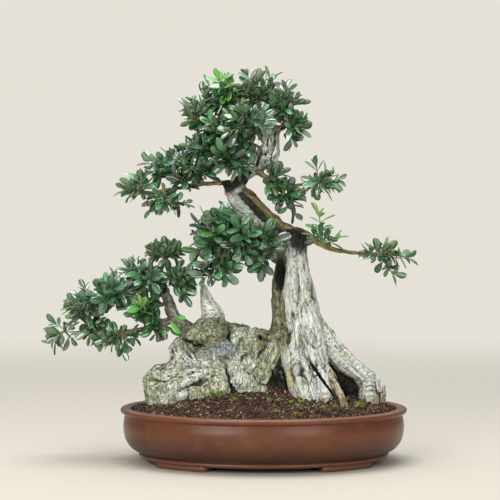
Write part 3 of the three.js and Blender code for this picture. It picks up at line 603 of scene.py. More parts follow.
class Volume:
    """A grid of distances to a bundle of strands, with the nearest cone at every point."""

    def __init__(self, strands, voxel, floor, width):
        self.voxel = voxel
        lines = [strand_line(points) for _, points in strands]
        every = np.vstack(lines)
        self.low = (every[:, :3] - every[:, 3:]).min(axis=0) - REACH
        self.low[2] = max(self.low[2], floor)
        high = (every[:, :3] + every[:, 3:]).max(axis=0) + REACH
        shape = np.ceil((high - self.low) / voxel).astype(int)
        self.distance = np.full(shape, REACH, np.float32)
        self.nearest = np.full(shape, 1e3, np.float32)
        self.cone = np.zeros(shape, np.int32)
        self.cut = np.zeros(shape, np.float32)
        self.cones = []
        for number, ((finish, _), line) in enumerate(zip(strands, lines)):
            self._add(line, FINISHES.index(finish), number, width)
        self.cones = np.array(self.cones)
        self.distance[:, :, 0] = np.maximum(self.distance[:, :, 0], 1.0)

    def box_of(self, ends):
        """The part of the grid that the cone between two ends can change."""
        first = np.floor(((ends[:, :3] - ends[:, 3:]).min(axis=0) - REACH - self.low) / self.voxel)
        last = np.ceil(((ends[:, :3] + ends[:, 3:]).max(axis=0) + REACH - self.low) / self.voxel)
        first = np.clip(first, 0, self.distance.shape).astype(int)
        last = np.clip(last, 0, self.distance.shape).astype(int)
        return tuple(slice(a, b) for a, b in zip(first, last))

    def cone_distance(self, box, start, end, deeper=1):
        """Distance to one cone, whose cut across can be made deeper than wide."""
        axes = [self.low[k] + np.arange(box[k].start, box[k].stop) * self.voxel - start[k] for k in range(3)]
        axes = [np.float32(a).reshape([-1 if k == i else 1 for i in range(3)]) for k, a in enumerate(axes)]
        run = np.float32(end - start)
        axes[1] = axes[1] / deeper
        run[1] = run[1] / deeper
        along = sum(axes[k] * run[k] for k in range(3)) / max(1e-6, float((run[:3] ** 2).sum()))
        along = np.clip(along, 0, 1)
        away = sum((axes[k] - along * run[k]) ** 2 for k in range(3))
        return np.sqrt(away) - (start[3] + run[3] * along)

    def _add(self, line, finish, number, width):
        whole = self.box_of(line)
        strand = np.full([s.stop - s.start for s in whole], REACH, np.float32)
        travelled = 0.0
        for start, end in zip(line[:-1], line[1:]):
            box = self.box_of(np.array([start, end]))
            distance = self.cone_distance(box, start, end)
            nearer = distance < self.nearest[box]
            self.nearest[box][nearer] = distance[nearer]
            self.cone[box][nearer] = len(self.cones)
            inner = tuple(slice(b.start - w.start, b.stop - w.start) for b, w in zip(box, whole))
            strand[inner] = np.minimum(strand[inner], distance)
            self.cones.append([*start, *end, travelled, finish, number])
            travelled += float(np.linalg.norm((end - start)[:3]))
        self.distance[whole] = soft_minimum(self.distance[whole], strand, width)

    def hollow(self, strand, width, deeper):
        """Takes a strand out of the wood and remembers how deep each point was cut."""
        line = strand_line(strand)
        for start, end in zip(line[:-1], line[1:]):
            box = self.box_of(np.array([start, end]) * [1, 1, 1, deeper])
            hole = self.cone_distance(box, start, end, deeper)
            before = self.distance[box].copy()
            self.distance[box] = -soft_minimum(-before, hole, width)
            self.cut[box] += self.distance[box] - before

    def at(self, points, grid):
        """What a grid holds at the cells nearest to the points."""
        index = np.rint((points - self.low) / self.voxel).astype(int)
        index = np.clip(index, 0, np.array(self.distance.shape) - 1)
        return grid[index[:, 0], index[:, 1], index[:, 2]]

    def grain(self, points, cone):
        """For each point: its offset from the strand's line, the way along it, and its finish."""
        near = self.cones[cone]
        run = near[:, 4:7] - near[:, 0:3]
        length = np.linalg.norm(run, axis=1)
        along = np.clip(((points - near[:, 0:3]) * run).sum(axis=1) / np.maximum(length, 1e-6) ** 2, 0, 1)
        offset = points - near[:, 0:3] - run * along[:, None]
        return offset, near[:, 8] + along * length, near[:, 9].astype(int), near[:, 10]


stick = Volume([("pale", [(0, 0, 0, 5), (0, 0, 20, 5)])], 1.0, -10.0, 2.0)
print("a stick 20 mm long and 10 mm thick holds", round((stick.distance < 0).sum() / 1000, 1), "cm3 of wood")

# %% Fill the two grids
LOWER_GRID = (1.7, 84.0, 8.0)      # size of a cell, lowest height, and how far two strands melt together
UPPER_GRID = (1.4, 100.0, 5.0)
lower = Volume(LOWER_WOOD, *LOWER_GRID)
for rim, deeper, hole in HOLLOWS:
    lower.hollow(hole, rim, deeper)
upper = Volume(UPPER_WOOD, *UPPER_GRID)
for rim, deeper, hole in GROOVES:
    upper.hollow(hole, rim, deeper)
print("lower grid", lower.distance.shape, "upper grid", upper.distance.shape)

# %% [markdown]
# Dead olive wood splits along its grain, because it shrinks more round the trunk than along it. The
# noise for the trunk is therefore stretched along the strand, and pushed sideways by slower noise, so
# that the splits wander as they do round old knots. The stump is burr wood with no straight grain, so
# its lumps and cracks go every way. Both are added to the stored distance, so even the deep splits
# have real walls. In the sums below a noise is divided by the size of its lumps in millimetres, the last
# number in a call only picks another noise, and the factor in front of each is its depth in millimetres.

# %% Noise that follows the grain
STUMP_EDGE = 10.0     # x where the stump's burr wood gives way to the trunk's straight grain
STUMP_BLEND = 24.0


def wandering(points, scale, amount, seed):
    """The points, pushed about by slow noise."""
    return points + amount * np.stack([noise(points / scale, seed + k) for k in range(3)], axis=1)


def grain_space(offset, along, number, across, length):
    """Coordinates in which the noise is drawn: narrow across the grain and long along it."""
    space = offset / across
    space[:, 2] += along / length
    return space + number[:, None] * 7.3


sample = grain_space(np.zeros((1, 3)), 40, np.zeros(1), 10, 60)
print("40 mm along the grain is", sample[0, 2].round(2), "cells of the noise")


# %% Relief of each kind of wood
def trunk_relief(points, offset, along, number):
    offset = offset + 15 * np.stack([noise(points / 34, seed) for seed in (31, 32, 33)], axis=1)
    deep = crease(noise(grain_space(offset, along, number, 22, 110), 75), 0.07)
    deep *= np.clip(0.55 + 2.2 * noise(points / 40, 34), 0, 1)
    split = crease(noise(grain_space(offset, along, number, 9.5, 34), 2), 0.13)
    split *= np.clip(0.6 + 2.0 * noise(points / 22, 35), 0, 1)
    swell = noise(grain_space(offset, along, number, 30, 52), 4)
    plates = noise(grain_space(offset, along, number, 8, 19), 36)
    pits = np.clip(noise(grain_space(offset, along, number, 5, 11), 37) - 0.24, 0, 1)
    ribs = noise(grain_space(offset, along, number, 3.2, 17), 3)
    cracks = 5.0 * deep + 2.6 * split + 6.0 * pits + 0.9 * ribs
    return np.stack([-4.2 * swell - 1.5 * plates, cracks], axis=1)


def stump_relief(points):
    moved = wandering(wandering(points, 24, 14, 5), 7, 4.5, 45) * [1, 1, 0.5]
    deep = crease(noise(moved / 26, 58), 0.045) * np.clip(0.5 + 2.4 * noise(points / 46, 38), 0, 1)
    split = crease(noise(moved / 9, 59), 0.12) * np.clip(0.5 + 2.4 * noise(points / 20, 39), 0, 1)
    lumps = noise(points / [32, 32, 40], 10)
    flutes = noise(moved / 12, 11)
    pits = np.clip(noise(moved / 4.6, 40) - 0.22, 0, 1)
    grit = noise(points / 3.6, 12)
    cracks = 5.0 * deep + 3.2 * split + 8.0 * pits + 0.9 * grit
    return np.stack([-9.0 * lumps - 6.0 * flutes, cracks], axis=1)


def branch_relief(offset, along, number, radius):
    knots = noise(grain_space(offset, along, number, 9, 15), 13) * np.where(number == 0, 2.0, 1.0)
    bark = crease(noise(grain_space(offset, along, number, 4.6, 20), 14), 0.2)
    ribs = noise(grain_space(offset, along, number, 3.0, 26), 15)
    thick = np.clip(radius / 8, 0.25, 1.3)
    return np.stack([-3.4 * thick * knots, thick * (2.1 * bark + 1.3 * ribs)], axis=1)


def spike_relief(offset, along, number):
    split = crease(noise(grain_space(offset, along, number, 6.0, 70), 61), 0.16)
    ribs = noise(grain_space(offset, along, number, 3.4, 50), 62)
    return np.stack([0.8 * ribs, 1.5 * split + 0.9 * ribs], axis=1)


sample = stump_relief(np.array([[-80.0, -50.0, 140.0]]))
print("swells and cracks of the stump at one point:", sample.round(1), "mm")

# %% Long cracks
FRONT, BACK = -10.0, 24.0     # cut in front of one y and, mirrored left to right, behind the other
MIRROR_X = -85.0


def long_cracks(points):
    """How deep the long cracks are, thinning out towards both of their ends."""
    flat = points[:, [0, 2]] + 2.4 * np.stack([noise(points / 6, seed) for seed in (81, 82)], axis=1)
    behind = points[:, 1] > BACK
    flat[behind, 0] = 2 * MIRROR_X - flat[behind, 0]
    depth = np.zeros(len(points))
    for width, deepest, line in CRACKS:
        line = np.array(line, float)
        middle, reach = (line.max(axis=0) + line.min(axis=0)) / 2, np.ptp(line, axis=0) / 2 + width
        near = (np.abs(flat - middle) < reach).all(axis=1)
        near &= behind | (points[:, 1] < FRONT)
        spot = flat[near]
        away, share = np.full(len(spot), np.inf), np.zeros(len(spot))
        for k, (start, run) in enumerate(zip(line, np.diff(line, axis=0))):
            along = np.clip((spot - start) @ run / (run @ run), 0, 1)
            gap = np.linalg.norm(spot - start - along[:, None] * run, axis=1)
            share = np.where(gap < away, (k + along) / (len(line) - 1), share)
            away = np.minimum(away, gap)
        thin = 1 - np.abs(2 * share - 1) ** 3
        depth[near] = np.maximum(depth[near], deepest * thin * np.clip(1 - away / width, 0, 1))
    return depth


middle_of_crack = np.array([[CRACKS[0][2][2][0], -50.0, CRACKS[0][2][2][1]]])
print("the first crack is", long_cracks(middle_of_crack).round(1), "mm deep at one point")


# %% Carve the wood
def lower_relief(points, cone):
    offset, along, _, number = lower.grain(points, cone)
    is_spike = number == len(LOWER_WOOD) - 1
    stump = np.clip((STUMP_EDGE - points[:, 0]) / STUMP_BLEND + 0.5, 0, 1)
    depth = np.zeros((len(points), 2))
    straight = 1 - stump[:, None]
    burr, trunk_part = ~is_spike & (stump > 0), ~is_spike & (stump < 1)
    depth[burr] += stump[burr, None] * stump_relief(points[burr])
    along_trunk = trunk_relief(points[trunk_part], offset[trunk_part], along[trunk_part], number[trunk_part])
    depth[trunk_part] += straight[trunk_part] * along_trunk
    depth[is_spike] += spike_relief(offset[is_spike], along[is_spike], number[is_spike])
    depth[:, 1] += long_cracks(points) * ~is_spike
    return depth


def upper_relief(points, cone):
    offset, along, _, number = upper.grain(points, cone)
    radius = (upper.cones[cone][:, 3] + upper.cones[cone][:, 7]) / 2
    return branch_relief(offset, along, number, radius)


CARVED_BAND = 9.5        # how far from the skin the distances are changed


def carve(volume, relief):
    """Adds the relief to the distances that lie close to the skin."""
    index = np.argwhere(np.abs(volume.distance) < CARVED_BAND)
    points = volume.low + index * volume.voxel
    spot = tuple(index.T)
    volume.distance[spot] += relief(points, volume.cone[spot]).sum(axis=1).astype(np.float32)
    return len(index)


print("carved points:", carve(lower, lower_relief), "and", carve(upper, upper_relief))

# %% [markdown]
# Now the skin is drawn. Carving can cut small crumbs loose, so only bodies with many corners stay. To
# tell the bodies apart, every corner takes the lowest number among its neighbours, again and again,
# until one number rules each body. OpenVDB draws squares of one size everywhere, which is wasteful on
# the smooth parts, so a Decimate modifier merges faces where that changes the shape least.

# %% Drop the crumbs
CRUMB = 900              # bodies with fewer corners are crumbs that the carving cut loose


def without_crumbs(points, quads):
    label = np.arange(len(points))
    while True:
        lowest = label[quads].min(axis=1)
        spread = label.copy()
        np.minimum.at(spread, quads.ravel(), np.repeat(lowest, 4))
        spread = spread[spread]
        if (spread == label).all():
            break
        label = spread
    kept = np.bincount(label, minlength=len(label))[label] >= CRUMB
    number = np.cumsum(kept) - 1
    return points[kept], number[quads[kept[quads[:, 0]]]]


lone_square = without_crumbs(np.zeros((4, 3)), np.array([[0, 1, 2, 3]]))
print("corners left of a lone square:", len(lone_square[0]))

# %% Draw and thin the skin
WOOD_TRIANGLES = 192_000


def thinned(points, quads, most):
    """The same skin with at most so many triangles."""
    if 2 * len(quads) <= most:
        return points, np.vstack([quads[:, [0, 1, 2]], quads[:, [0, 2, 3]]])
    mesh = bpy.data.meshes.new("thinning")
    mesh.from_pydata(points, [], quads.tolist())
    item = bpy.data.objects.new("thinning", mesh)
    bpy.context.scene.collection.objects.link(item)
    modifier = item.modifiers.new("thin", "DECIMATE")
    modifier.ratio = most / (2 * len(quads))
    thin = item.evaluated_get(bpy.context.evaluated_depsgraph_get()).to_mesh()
    thin.calc_loop_triangles()
    places = np.empty(3 * len(thin.vertices), np.float32)
    thin.vertices.foreach_get("co", places)
    corners = np.empty(3 * len(thin.loop_triangles), np.int32)
    thin.loop_triangles.foreach_get("vertices", corners)
    bpy.data.objects.remove(item)
    bpy.data.meshes.remove(mesh)
    return places.reshape(-1, 3).astype(float), corners.reshape(-1, 3)


def skin(volume, most):
    grid = openvdb.FloatGrid()
    grid.background = REACH
    grid.copyFromArray(volume.distance)
    points, quads = grid.convertToQuads()
    points, quads = without_crumbs(np.array(points, float), np.array(quads, int)[:, ::-1])
    print("squares drawn:", len(quads))
    return thinned(points * volume.voxel + volume.low, quads, most)


lower_points, lower_faces = skin(lower, WOOD_TRIANGLES)
upper_points, upper_faces = skin(upper, WOOD_TRIANGLES // 2)
print("lower skin:", len(lower_faces), "triangles; upper skin:", len(upper_faces), "triangles")

# %% [markdown]
# ### What the wood's finish needs to know
# The material asks three things of every corner of the skin: which kinds of wood it is made of, how
# deep it was carved, which sets how dark its painted shade is, and where it is in the direction of the
# grain. The first is the finish of the nearest strand, softened over a few corners so that bark fades
# into bare wood. Some places look unlike the rest of their strand, such as a rotted hollow or a root
# that keeps its bark, so they are listed on their own. The dark ones are partly rotten wood and partly
# painted shade in the caves, the grooves and under the crown.

# %% Values on the wood's skin
FINISH_PLACES = [  # finish, then the middle of the patch and its half-sizes
    ("lichen", (20, -36, 178), (26, 36, 40)),
    ("lichen", (-6, -44, 134), (28, 34, 44)),
    ("lichen", (-32, -42, 200), (22, 30, 24)),
    ("olive", (30, -34, 246), (11, 30, 58)),
    ("pale", (22, -50, 128), (10, 20, 30)),
    ("honey", (33, -34, 194), (9, 24, 18)),
    ("honey", (43, -56, 134), (10, 30, 44)),
    ("honey", (66, -80, 112), (14, 20, 10)),
    ("honey", (99, -78, 112), (7, 22, 18)),
    ("honey", (190, -26, 112), (12, 34, 22)),
    ("honey", (-94, -66, 128), (24, 16, 9)),
    # Blue-grey painted shade in the recess under the stump's cap
    ("slate", (-88, -42, 188), (32, 26, 13)),
    ("slate", (-60, -46, 188), (22, 26, 14)),
    ("olive", (37, -36, 206), (14, 34, 32)),
    # The dark patches: partly rotten wood, partly painted shade in the caves, the grooves and under the crown
    ("dark", (-170, -8, 288), (11, 20, 9)),
    ("dark", (27, -20, 316), (13, 24, 38)),
    ("dark", (58, -10, 367), (21, 28, 28)),
    ("dark", (50, -8, 384), (22, 24, 9)),
    ("dark", (-50, -54, 110), (8, 22, 16)),
    ("dark", (24, -30, 134), (22, 26, 28)),
    ("dark", (130, -34, 112), (30, 34, 22)),
    ("dark", (-6, -36, 212), (4.5, 10, 5)),
    ("dark", (-58, 2, 462), (20, 24, 14)),
    ("dark", (-36, 2, 474), (18, 18, 13)),
    ("bleached", (6, -6, 528), (24, 22, 32)),
]
print("patches with a finish of their own:", len(FINISH_PLACES))

# %% Work out the values
BROAD_SHADE = 0.3              # how much the broad swells count beside the narrow cracks
HOLLOW_SHADE, DARKEST_HOLLOW = 0.6, 3.4
PATCH_FALL = 1.6               # how fast a patch fades from its middle
GRAIN_ACROSS, GRAIN_ALONG = 10, 60
LESS_CRACK_SHADE_IN_RECESS = 0.8              # the painted shade of cracks counts this much less where the recess's blue-grey painted shade lies


def soften(values, faces, times):
    """Lets a value on the corners bleed into its neighbours."""
    count = np.maximum(np.bincount(faces.ravel(), minlength=len(values)), 1)
    for _ in range(times):
        middle = values[faces].mean(axis=1)
        total = np.zeros_like(values)
        for side in range(faces.shape[1]):
            np.add.at(total, faces[:, side], middle)
        values = total / count
    return values


def wood_values(volume, points, faces, relief):
    cone = volume.at(points, volume.cone)
    offset, along, finish, number = volume.grain(points, cone)
    kinds = (finish[:, None] == np.arange(len(FINISHES))).astype(np.float32)
    values = {name: kinds[:, k] for k, name in enumerate(FINISHES)}
    for name in ("dark", "honey"):
        values[name] = np.zeros(len(points), np.float32)
    for name, middle, half in FINISH_PLACES:
        patch = np.exp(-(((points - middle) / half) ** 2).sum(axis=1) * PATCH_FALL)
        for other in values:
            if name != "dark":
                values[other] = values[other] * (1 - patch)
        values[name] = np.clip(values[name] + patch, 0, 1)
    values = {name: soften(value, faces, 4) for name, value in values.items()}
    # Painted shade: the deeper a corner lies in a crack or hollow, the darker the finish paints it.
    hollow = np.clip(volume.at(points, volume.cut) * HOLLOW_SHADE, 0, DARKEST_HOLLOW)
    sunk = (relief(points, cone) @ [BROAD_SHADE, 1.0] + hollow) * (1 - LESS_CRACK_SHADE_IN_RECESS * values["slate"])
    values["sunk"] = soften(sunk.astype(np.float32), faces, 1)
    values["burr"] = np.clip((STUMP_EDGE - points[:, 0]) / STUMP_BLEND + 0.5, 0, 1) * (points[:, 2] < 250)
    values["grain"] = grain_space(offset, along, number, GRAIN_ACROSS, GRAIN_ALONG)
    values["spot"] = points / GRAIN_ACROSS
    return values


lower_values = wood_values(lower, lower_points, lower_faces, lower_relief)
upper_values = wood_values(upper, upper_points, upper_faces, upper_relief)
print("the stump's skin is sunk by", np.percentile(lower_values["sunk"], [0, 50, 100]).round(1), "mm")

# %% [markdown]
# ### The finish of the old wood
# Bare olive wood bleaches to silver, with fine dark lines where weather opened the grain. Shade keeps
# it greenish, lichen crusts the stump, and strips of live bark run up to the branches. Each of these
# is a colour of its own, laid over the silver where the corner values say so, with a ragged edge made
# by noise. Cracks and hollows are painted almost black the deeper they were carved, partly for the dust
# and damp that sit in them and partly as painted shade, and the raised swells get a painted highlight.


# %% Old wood
def make_wood():
    finish = Finish("weathered_olive_wood", {"Roughness": 0.8, "Specular IOR Level": 0.3})
    grain = finish.attribute("grain", "Vector")
    spot = finish.attribute("spot", "Vector")
    streaks = finish.noise(grain, 1.3, 5.0, 0.6, 0.5)
    hairs = finish.noise(grain, 4.0, 3.0, 0.55, 0.3)
    clouds = finish.noise(spot, 0.3, 4.0, 0.6)
    mottle = finish.noise(spot, 1.1, 5.0, 0.6, 0.4)
    specks = finish.noise(spot, 4.2, 3.0, 0.6)

    silver = finish.tones(streaks.ramp(0.32, 0.58), "9b9e97", "d3d6cf")
    silver = finish.over(silver, clouds.ramp(0.44, 0.62) * 0.6, "b6ba9c")
    silver = finish.over(silver, mottle.ramp(0.54, 0.68) * 0.22, "e6e8e2")
    tone = finish.noise(spot, 0.36, 2.0, 0.5)
    aged = finish.tones(tone.ramp(0.4, 0.6), "c0c5a0", "e2e5d6")
    aged = finish.over(aged, mottle.ramp(0.4, 0.66) * 0.4, "ebeed9")
    silver = finish.blend(finish.attribute("burr") * 0.85, silver, aged)
    bark = finish.tones(mottle.ramp(0.38, 0.64), "4a4530", "a09e70")
    bark = finish.over(bark, specks.ramp(0.54, 0.68) * 0.5, "ccceaa")
    crust = finish.tones(mottle.ramp(0.36, 0.58), "868b6e", "dfe3c8")
    crust = finish.over(crust, clouds.ramp(0.44, 0.58) * 0.5, "adb384")
    crust = finish.over(crust, specks.ramp(0.56, 0.7) * 0.35, "d8dcc6")
    mossy = finish.tones(mottle.ramp(0.36, 0.62), "5c6249", "b4b993")
    mossy = finish.over(mossy, specks.ramp(0.54, 0.68) * 0.5, "e6eacc")
    vein = finish.tones(streaks.ramp(0.34, 0.62), "463c24", "a39766")
    vein = finish.over(vein, mottle.ramp(0.5, 0.64) * 0.45, "8f6c3c")
    vein = finish.over(vein, clouds.ramp(0.46, 0.58) * 0.5, "7f7d52")
    ashen = finish.tones(mottle.ramp(0.35, 0.65), "8c897c", "c8c6b8")
    # Blue-grey painted shade for the recess under the stump's cap and the bulge inside it.
    slate = finish.tones(mottle.ramp(0.35, 0.65), "7c8684", "b9c4c1")
    twig = finish.tones(streaks.ramp(0.34, 0.62), "6e6048", "bbae92")
    chalk = finish.tones(streaks.ramp(0.34, 0.56), "d8dbc9", "fdfff2")
    honey = finish.tones(streaks.ramp(0.34, 0.62), "7d643c", "e2d2a6")
    # Near-black: partly rotten wood, partly painted shade in the grooves between strands and in the cave
    # between the roots.
    rot = finish.tones(mottle.ramp(0.4, 0.66), "0e0a07", "382d20")
    layers = [  # the kind, its colour, how much it covers, and where its ragged edge starts and ends
        ("lichen", crust, 1.0, 0.36, 0.62),
        ("mossy", mossy, 0.9, 0.15, 0.9),
        ("olive", bark, 0.92, 0.36, 0.62),
        ("golden", vein, 1.0, 0.36, 0.62),
        ("grey", ashen, 1.0, 0.36, 0.62),
        ("slate", slate, 0.9, 0.2, 0.8),
        ("tan", twig, 1.0, 0.36, 0.62),
        ("bleached", chalk, 1.0, 0.36, 0.62),
        ("honey", honey, 0.85, 0.2, 0.85),
        ("rot", rot, 0.96, 0.36, 0.62),
    ]
    skin_colour = silver
    for kind, its_colour, cover, low, high in layers:
        ragged = finish.attribute(kind) + (mottle - 0.5) * 0.9
        skin_colour = finish.blend(ragged.ramp(low, high) * cover, skin_colour, its_colour)
    # The dark patches are painted near-black: partly rotten wood, partly painted shade in caves, grooves and
    # under the crown.
    rot_and_shade_patches = (finish.attribute("dark") * 1.3 + (mottle - 0.5) * 1.0).ramp(0.25, 0.75)
    skin_colour = finish.over(skin_colour, rot_and_shade_patches * 0.94, "1b1610")
    open_grain = (1 - hairs.ramp(0.37, 0.46)) * 0.55
    skin_colour = finish.over(skin_colour, open_grain, "5a5346", "MULTIPLY")
    splits = finish.noise(grain, 0.75, 4.0, 0.5, 0.9)
    splits = (1 - ((splits - 0.5).size() * 34.0).limited()) * clouds.ramp(0.3, 0.5) * 0.7
    skin_colour = finish.over(skin_colour, splits, "2b251b", "MULTIPLY")
    fissures = finish.noise(finish.stretched(spot, (1.0, 1.0, 0.45)), 1.25, 5.0, 0.6, 1.0)
    fissures = (1 - ((fissures - 0.5).size() * 30.0).limited()) * streaks.ramp(0.3, 0.55)
    fissures = fissures * (finish.attribute("burr") * 0.75 + 0.12)
    skin_colour = finish.over(skin_colour, fissures, "2b251b", "MULTIPLY")
    # Painted shade darkens the deeply carved cracks and hollows, partly also for dust and damp; a painted
    # highlight lightens the raised swells.
    sunk = finish.attribute("sunk") + (specks - 0.5) * 2.0
    skin_colour = finish.over(skin_colour, sunk.ramp(0.8, 4.6) * 0.94, "17130d")
    painted_crest_highlight = (sunk * -1).ramp(0.8, 5.5) * 0.13
    skin_colour = finish.over(skin_colour, painted_crest_highlight, "e9e9e0")

    relief = streaks + hairs * 0.5 + mottle * 0.7 + specks * 0.25 - splits * 0.8 - fissures * 0.8
    normal = finish.bump(relief, 0.0022, 0.85)
    rough = 0.92 - finish.attribute("golden") * 0.2 - finish.attribute("grey") * 0.1
    return finish.surface({"Base Color": skin_colour, "Roughness": rough, "Normal": normal})


old_wood = make_wood()
trunk = make_piece("old_trunk_and_stump", lower_points, lower_faces.tolist(), [old_wood], lower_values)
branches = make_piece("live_vein_and_branches", upper_points, upper_faces.tolist(), [old_wood], upper_values)
settle(trunk, "old_wood", "trunk")
settle(branches, "old_wood", "trunk")

# %% [markdown]
# ## Leaves
# An olive leaf is a stiff, slightly folded blade on a short stalk: dark and waxy above, grey and matt
# below. One leaf is drawn once as a grid of rows along it and columns across it. Every other leaf is
# that grid with its own length, width, fold and curl, worked out for all leaves at the same time.

# %% One leaf, in shares of its length and width
STALK = 0.1                        # share of the leaf that is stalk
ROWS = np.array([0.0, 0.12, 0.32, 0.54, 0.76, 0.91, 0.985])
COLUMNS = np.array([-1, -0.5, 0, 0.5, 1, 0])
IS_UNDER = np.array([0, 0, 0, 0, 0, 1])
MIDDLE, BLADE = 20, 26             # numbers of the corners on the midrib, at the middle and further out
WIDEST = 0.57


def leaf_outline(share):
    """Half the width of the blade at a share of its length, 1 at the widest."""
    before = np.clip((WIDEST - share) / WIDEST, 0, 1)
    after = np.clip((share - WIDEST) / (1 - WIDEST), 0, 1)
    return np.where(share < WIDEST, 1 - before**1.9, np.sqrt(np.clip(1 - after**2.3, 0, 1)))


def leaf_faces():
    """Faces of one leaf, and 1 for each that belongs to its underside."""
    wide = len(COLUMNS)
    hidden = [int(IS_UNDER[column] or IS_UNDER[(column + 1) % wide]) for column in range(wide)]
    faces = faces_between(len(ROWS), wide)
    under = hidden * (len(ROWS) - 1)
    tip = len(ROWS) * wide
    last = tip - wide
    for column in range(wide):
        after = (column + 1) % wide
        faces.append([last + column, last + after, tip, tip])
        faces.append([after, column, tip + 1, tip + 1])
        under += [hidden[column], hidden[column]]
    return np.array(faces), np.array(under)


LEAF_FACES, LEAF_UNDER = leaf_faces()
row_share = np.repeat(ROWS, len(COLUMNS))
LEAF_ALONG = np.append(row_share, [1.0, 0.0])
LEAF_ACROSS = np.append(np.tile(COLUMNS, len(ROWS)), [0, 0]).astype(float)
LEAF_BELOW = np.append(np.tile(IS_UNDER, len(ROWS)), [0, 0]).astype(float)
LEAF_HALF = np.append(np.maximum(leaf_outline(row_share), 0.13), [0, 0])
print("a leaf has", len(LEAF_ALONG), "corners and", len(LEAF_FACES), "faces")


# %% Many leaves at once
def unit(vectors):
    return vectors / np.maximum(np.linalg.norm(vectors, axis=-1, keepdims=True), 1e-9)


def grow_leaves(base, forward, up, length, width, fold, curl, sway):
    """Corners of every leaf: an array of leaves by corners by three."""
    forward = unit(forward)
    up = unit(up - forward * (up * forward).sum(axis=1, keepdims=True))
    side = np.cross(up, forward)
    length, width, fold, curl, sway = [value[:, None] for value in (length, width, fold, curl, sway)]
    half = LEAF_HALF * width / 2
    x = (STALK + (1 - STALK) * LEAF_ALONG) * length
    x = np.where(LEAF_ALONG == 0, np.where(LEAF_HALF == 0, -0.6, 0.4), x)
    y = half * LEAF_ACROSS + sway * LEAF_ALONG**2
    rib = 1 - np.abs(LEAF_ACROSS)
    thickness = 0.35 + 0.45 * rib * (1 - LEAF_ALONG)
    z = fold * half * np.abs(LEAF_ACROSS) - curl * length * LEAF_ALONG**2 - thickness * LEAF_BELOW
    return (base[:, None] + forward[:, None] * x[..., None] + side[:, None] * y[..., None]
            + up[:, None] * z[..., None])


def faces_of_leaves(count):
    """Faces of so many leaves, with a triangle where two corners of a face are one."""
    faces = (LEAF_FACES + np.arange(count)[:, None, None] * len(LEAF_ALONG)).reshape(-1, 4).tolist()
    return [face[:3] if face[2] == face[3] else face for face in faces]


sizes = [np.array([size]) for size in (24.0, 11.0, 0.25, 0.08, 1.0)]
sample = grow_leaves(*[np.eye(3)[[k]] for k in range(3)], *sizes)
print("a leaf of 24 by 11 mm measures", np.ptp(sample[0], axis=0).round(1), "mm along x, y and z")

# %% [markdown]
# ### Where the leaves grow
# A spray is a branchlet that forks into shoots, and the shoots fill a rounded clump. Olive leaves
# stand in pairs, each pair turned a quarter from the one before, and they crowd at the tip. So a
# spray is given as the root of its branchlet, the middle and half-sizes of its clump, the tips of the
# shoots that stand out of it, and how many more shoots fill it.

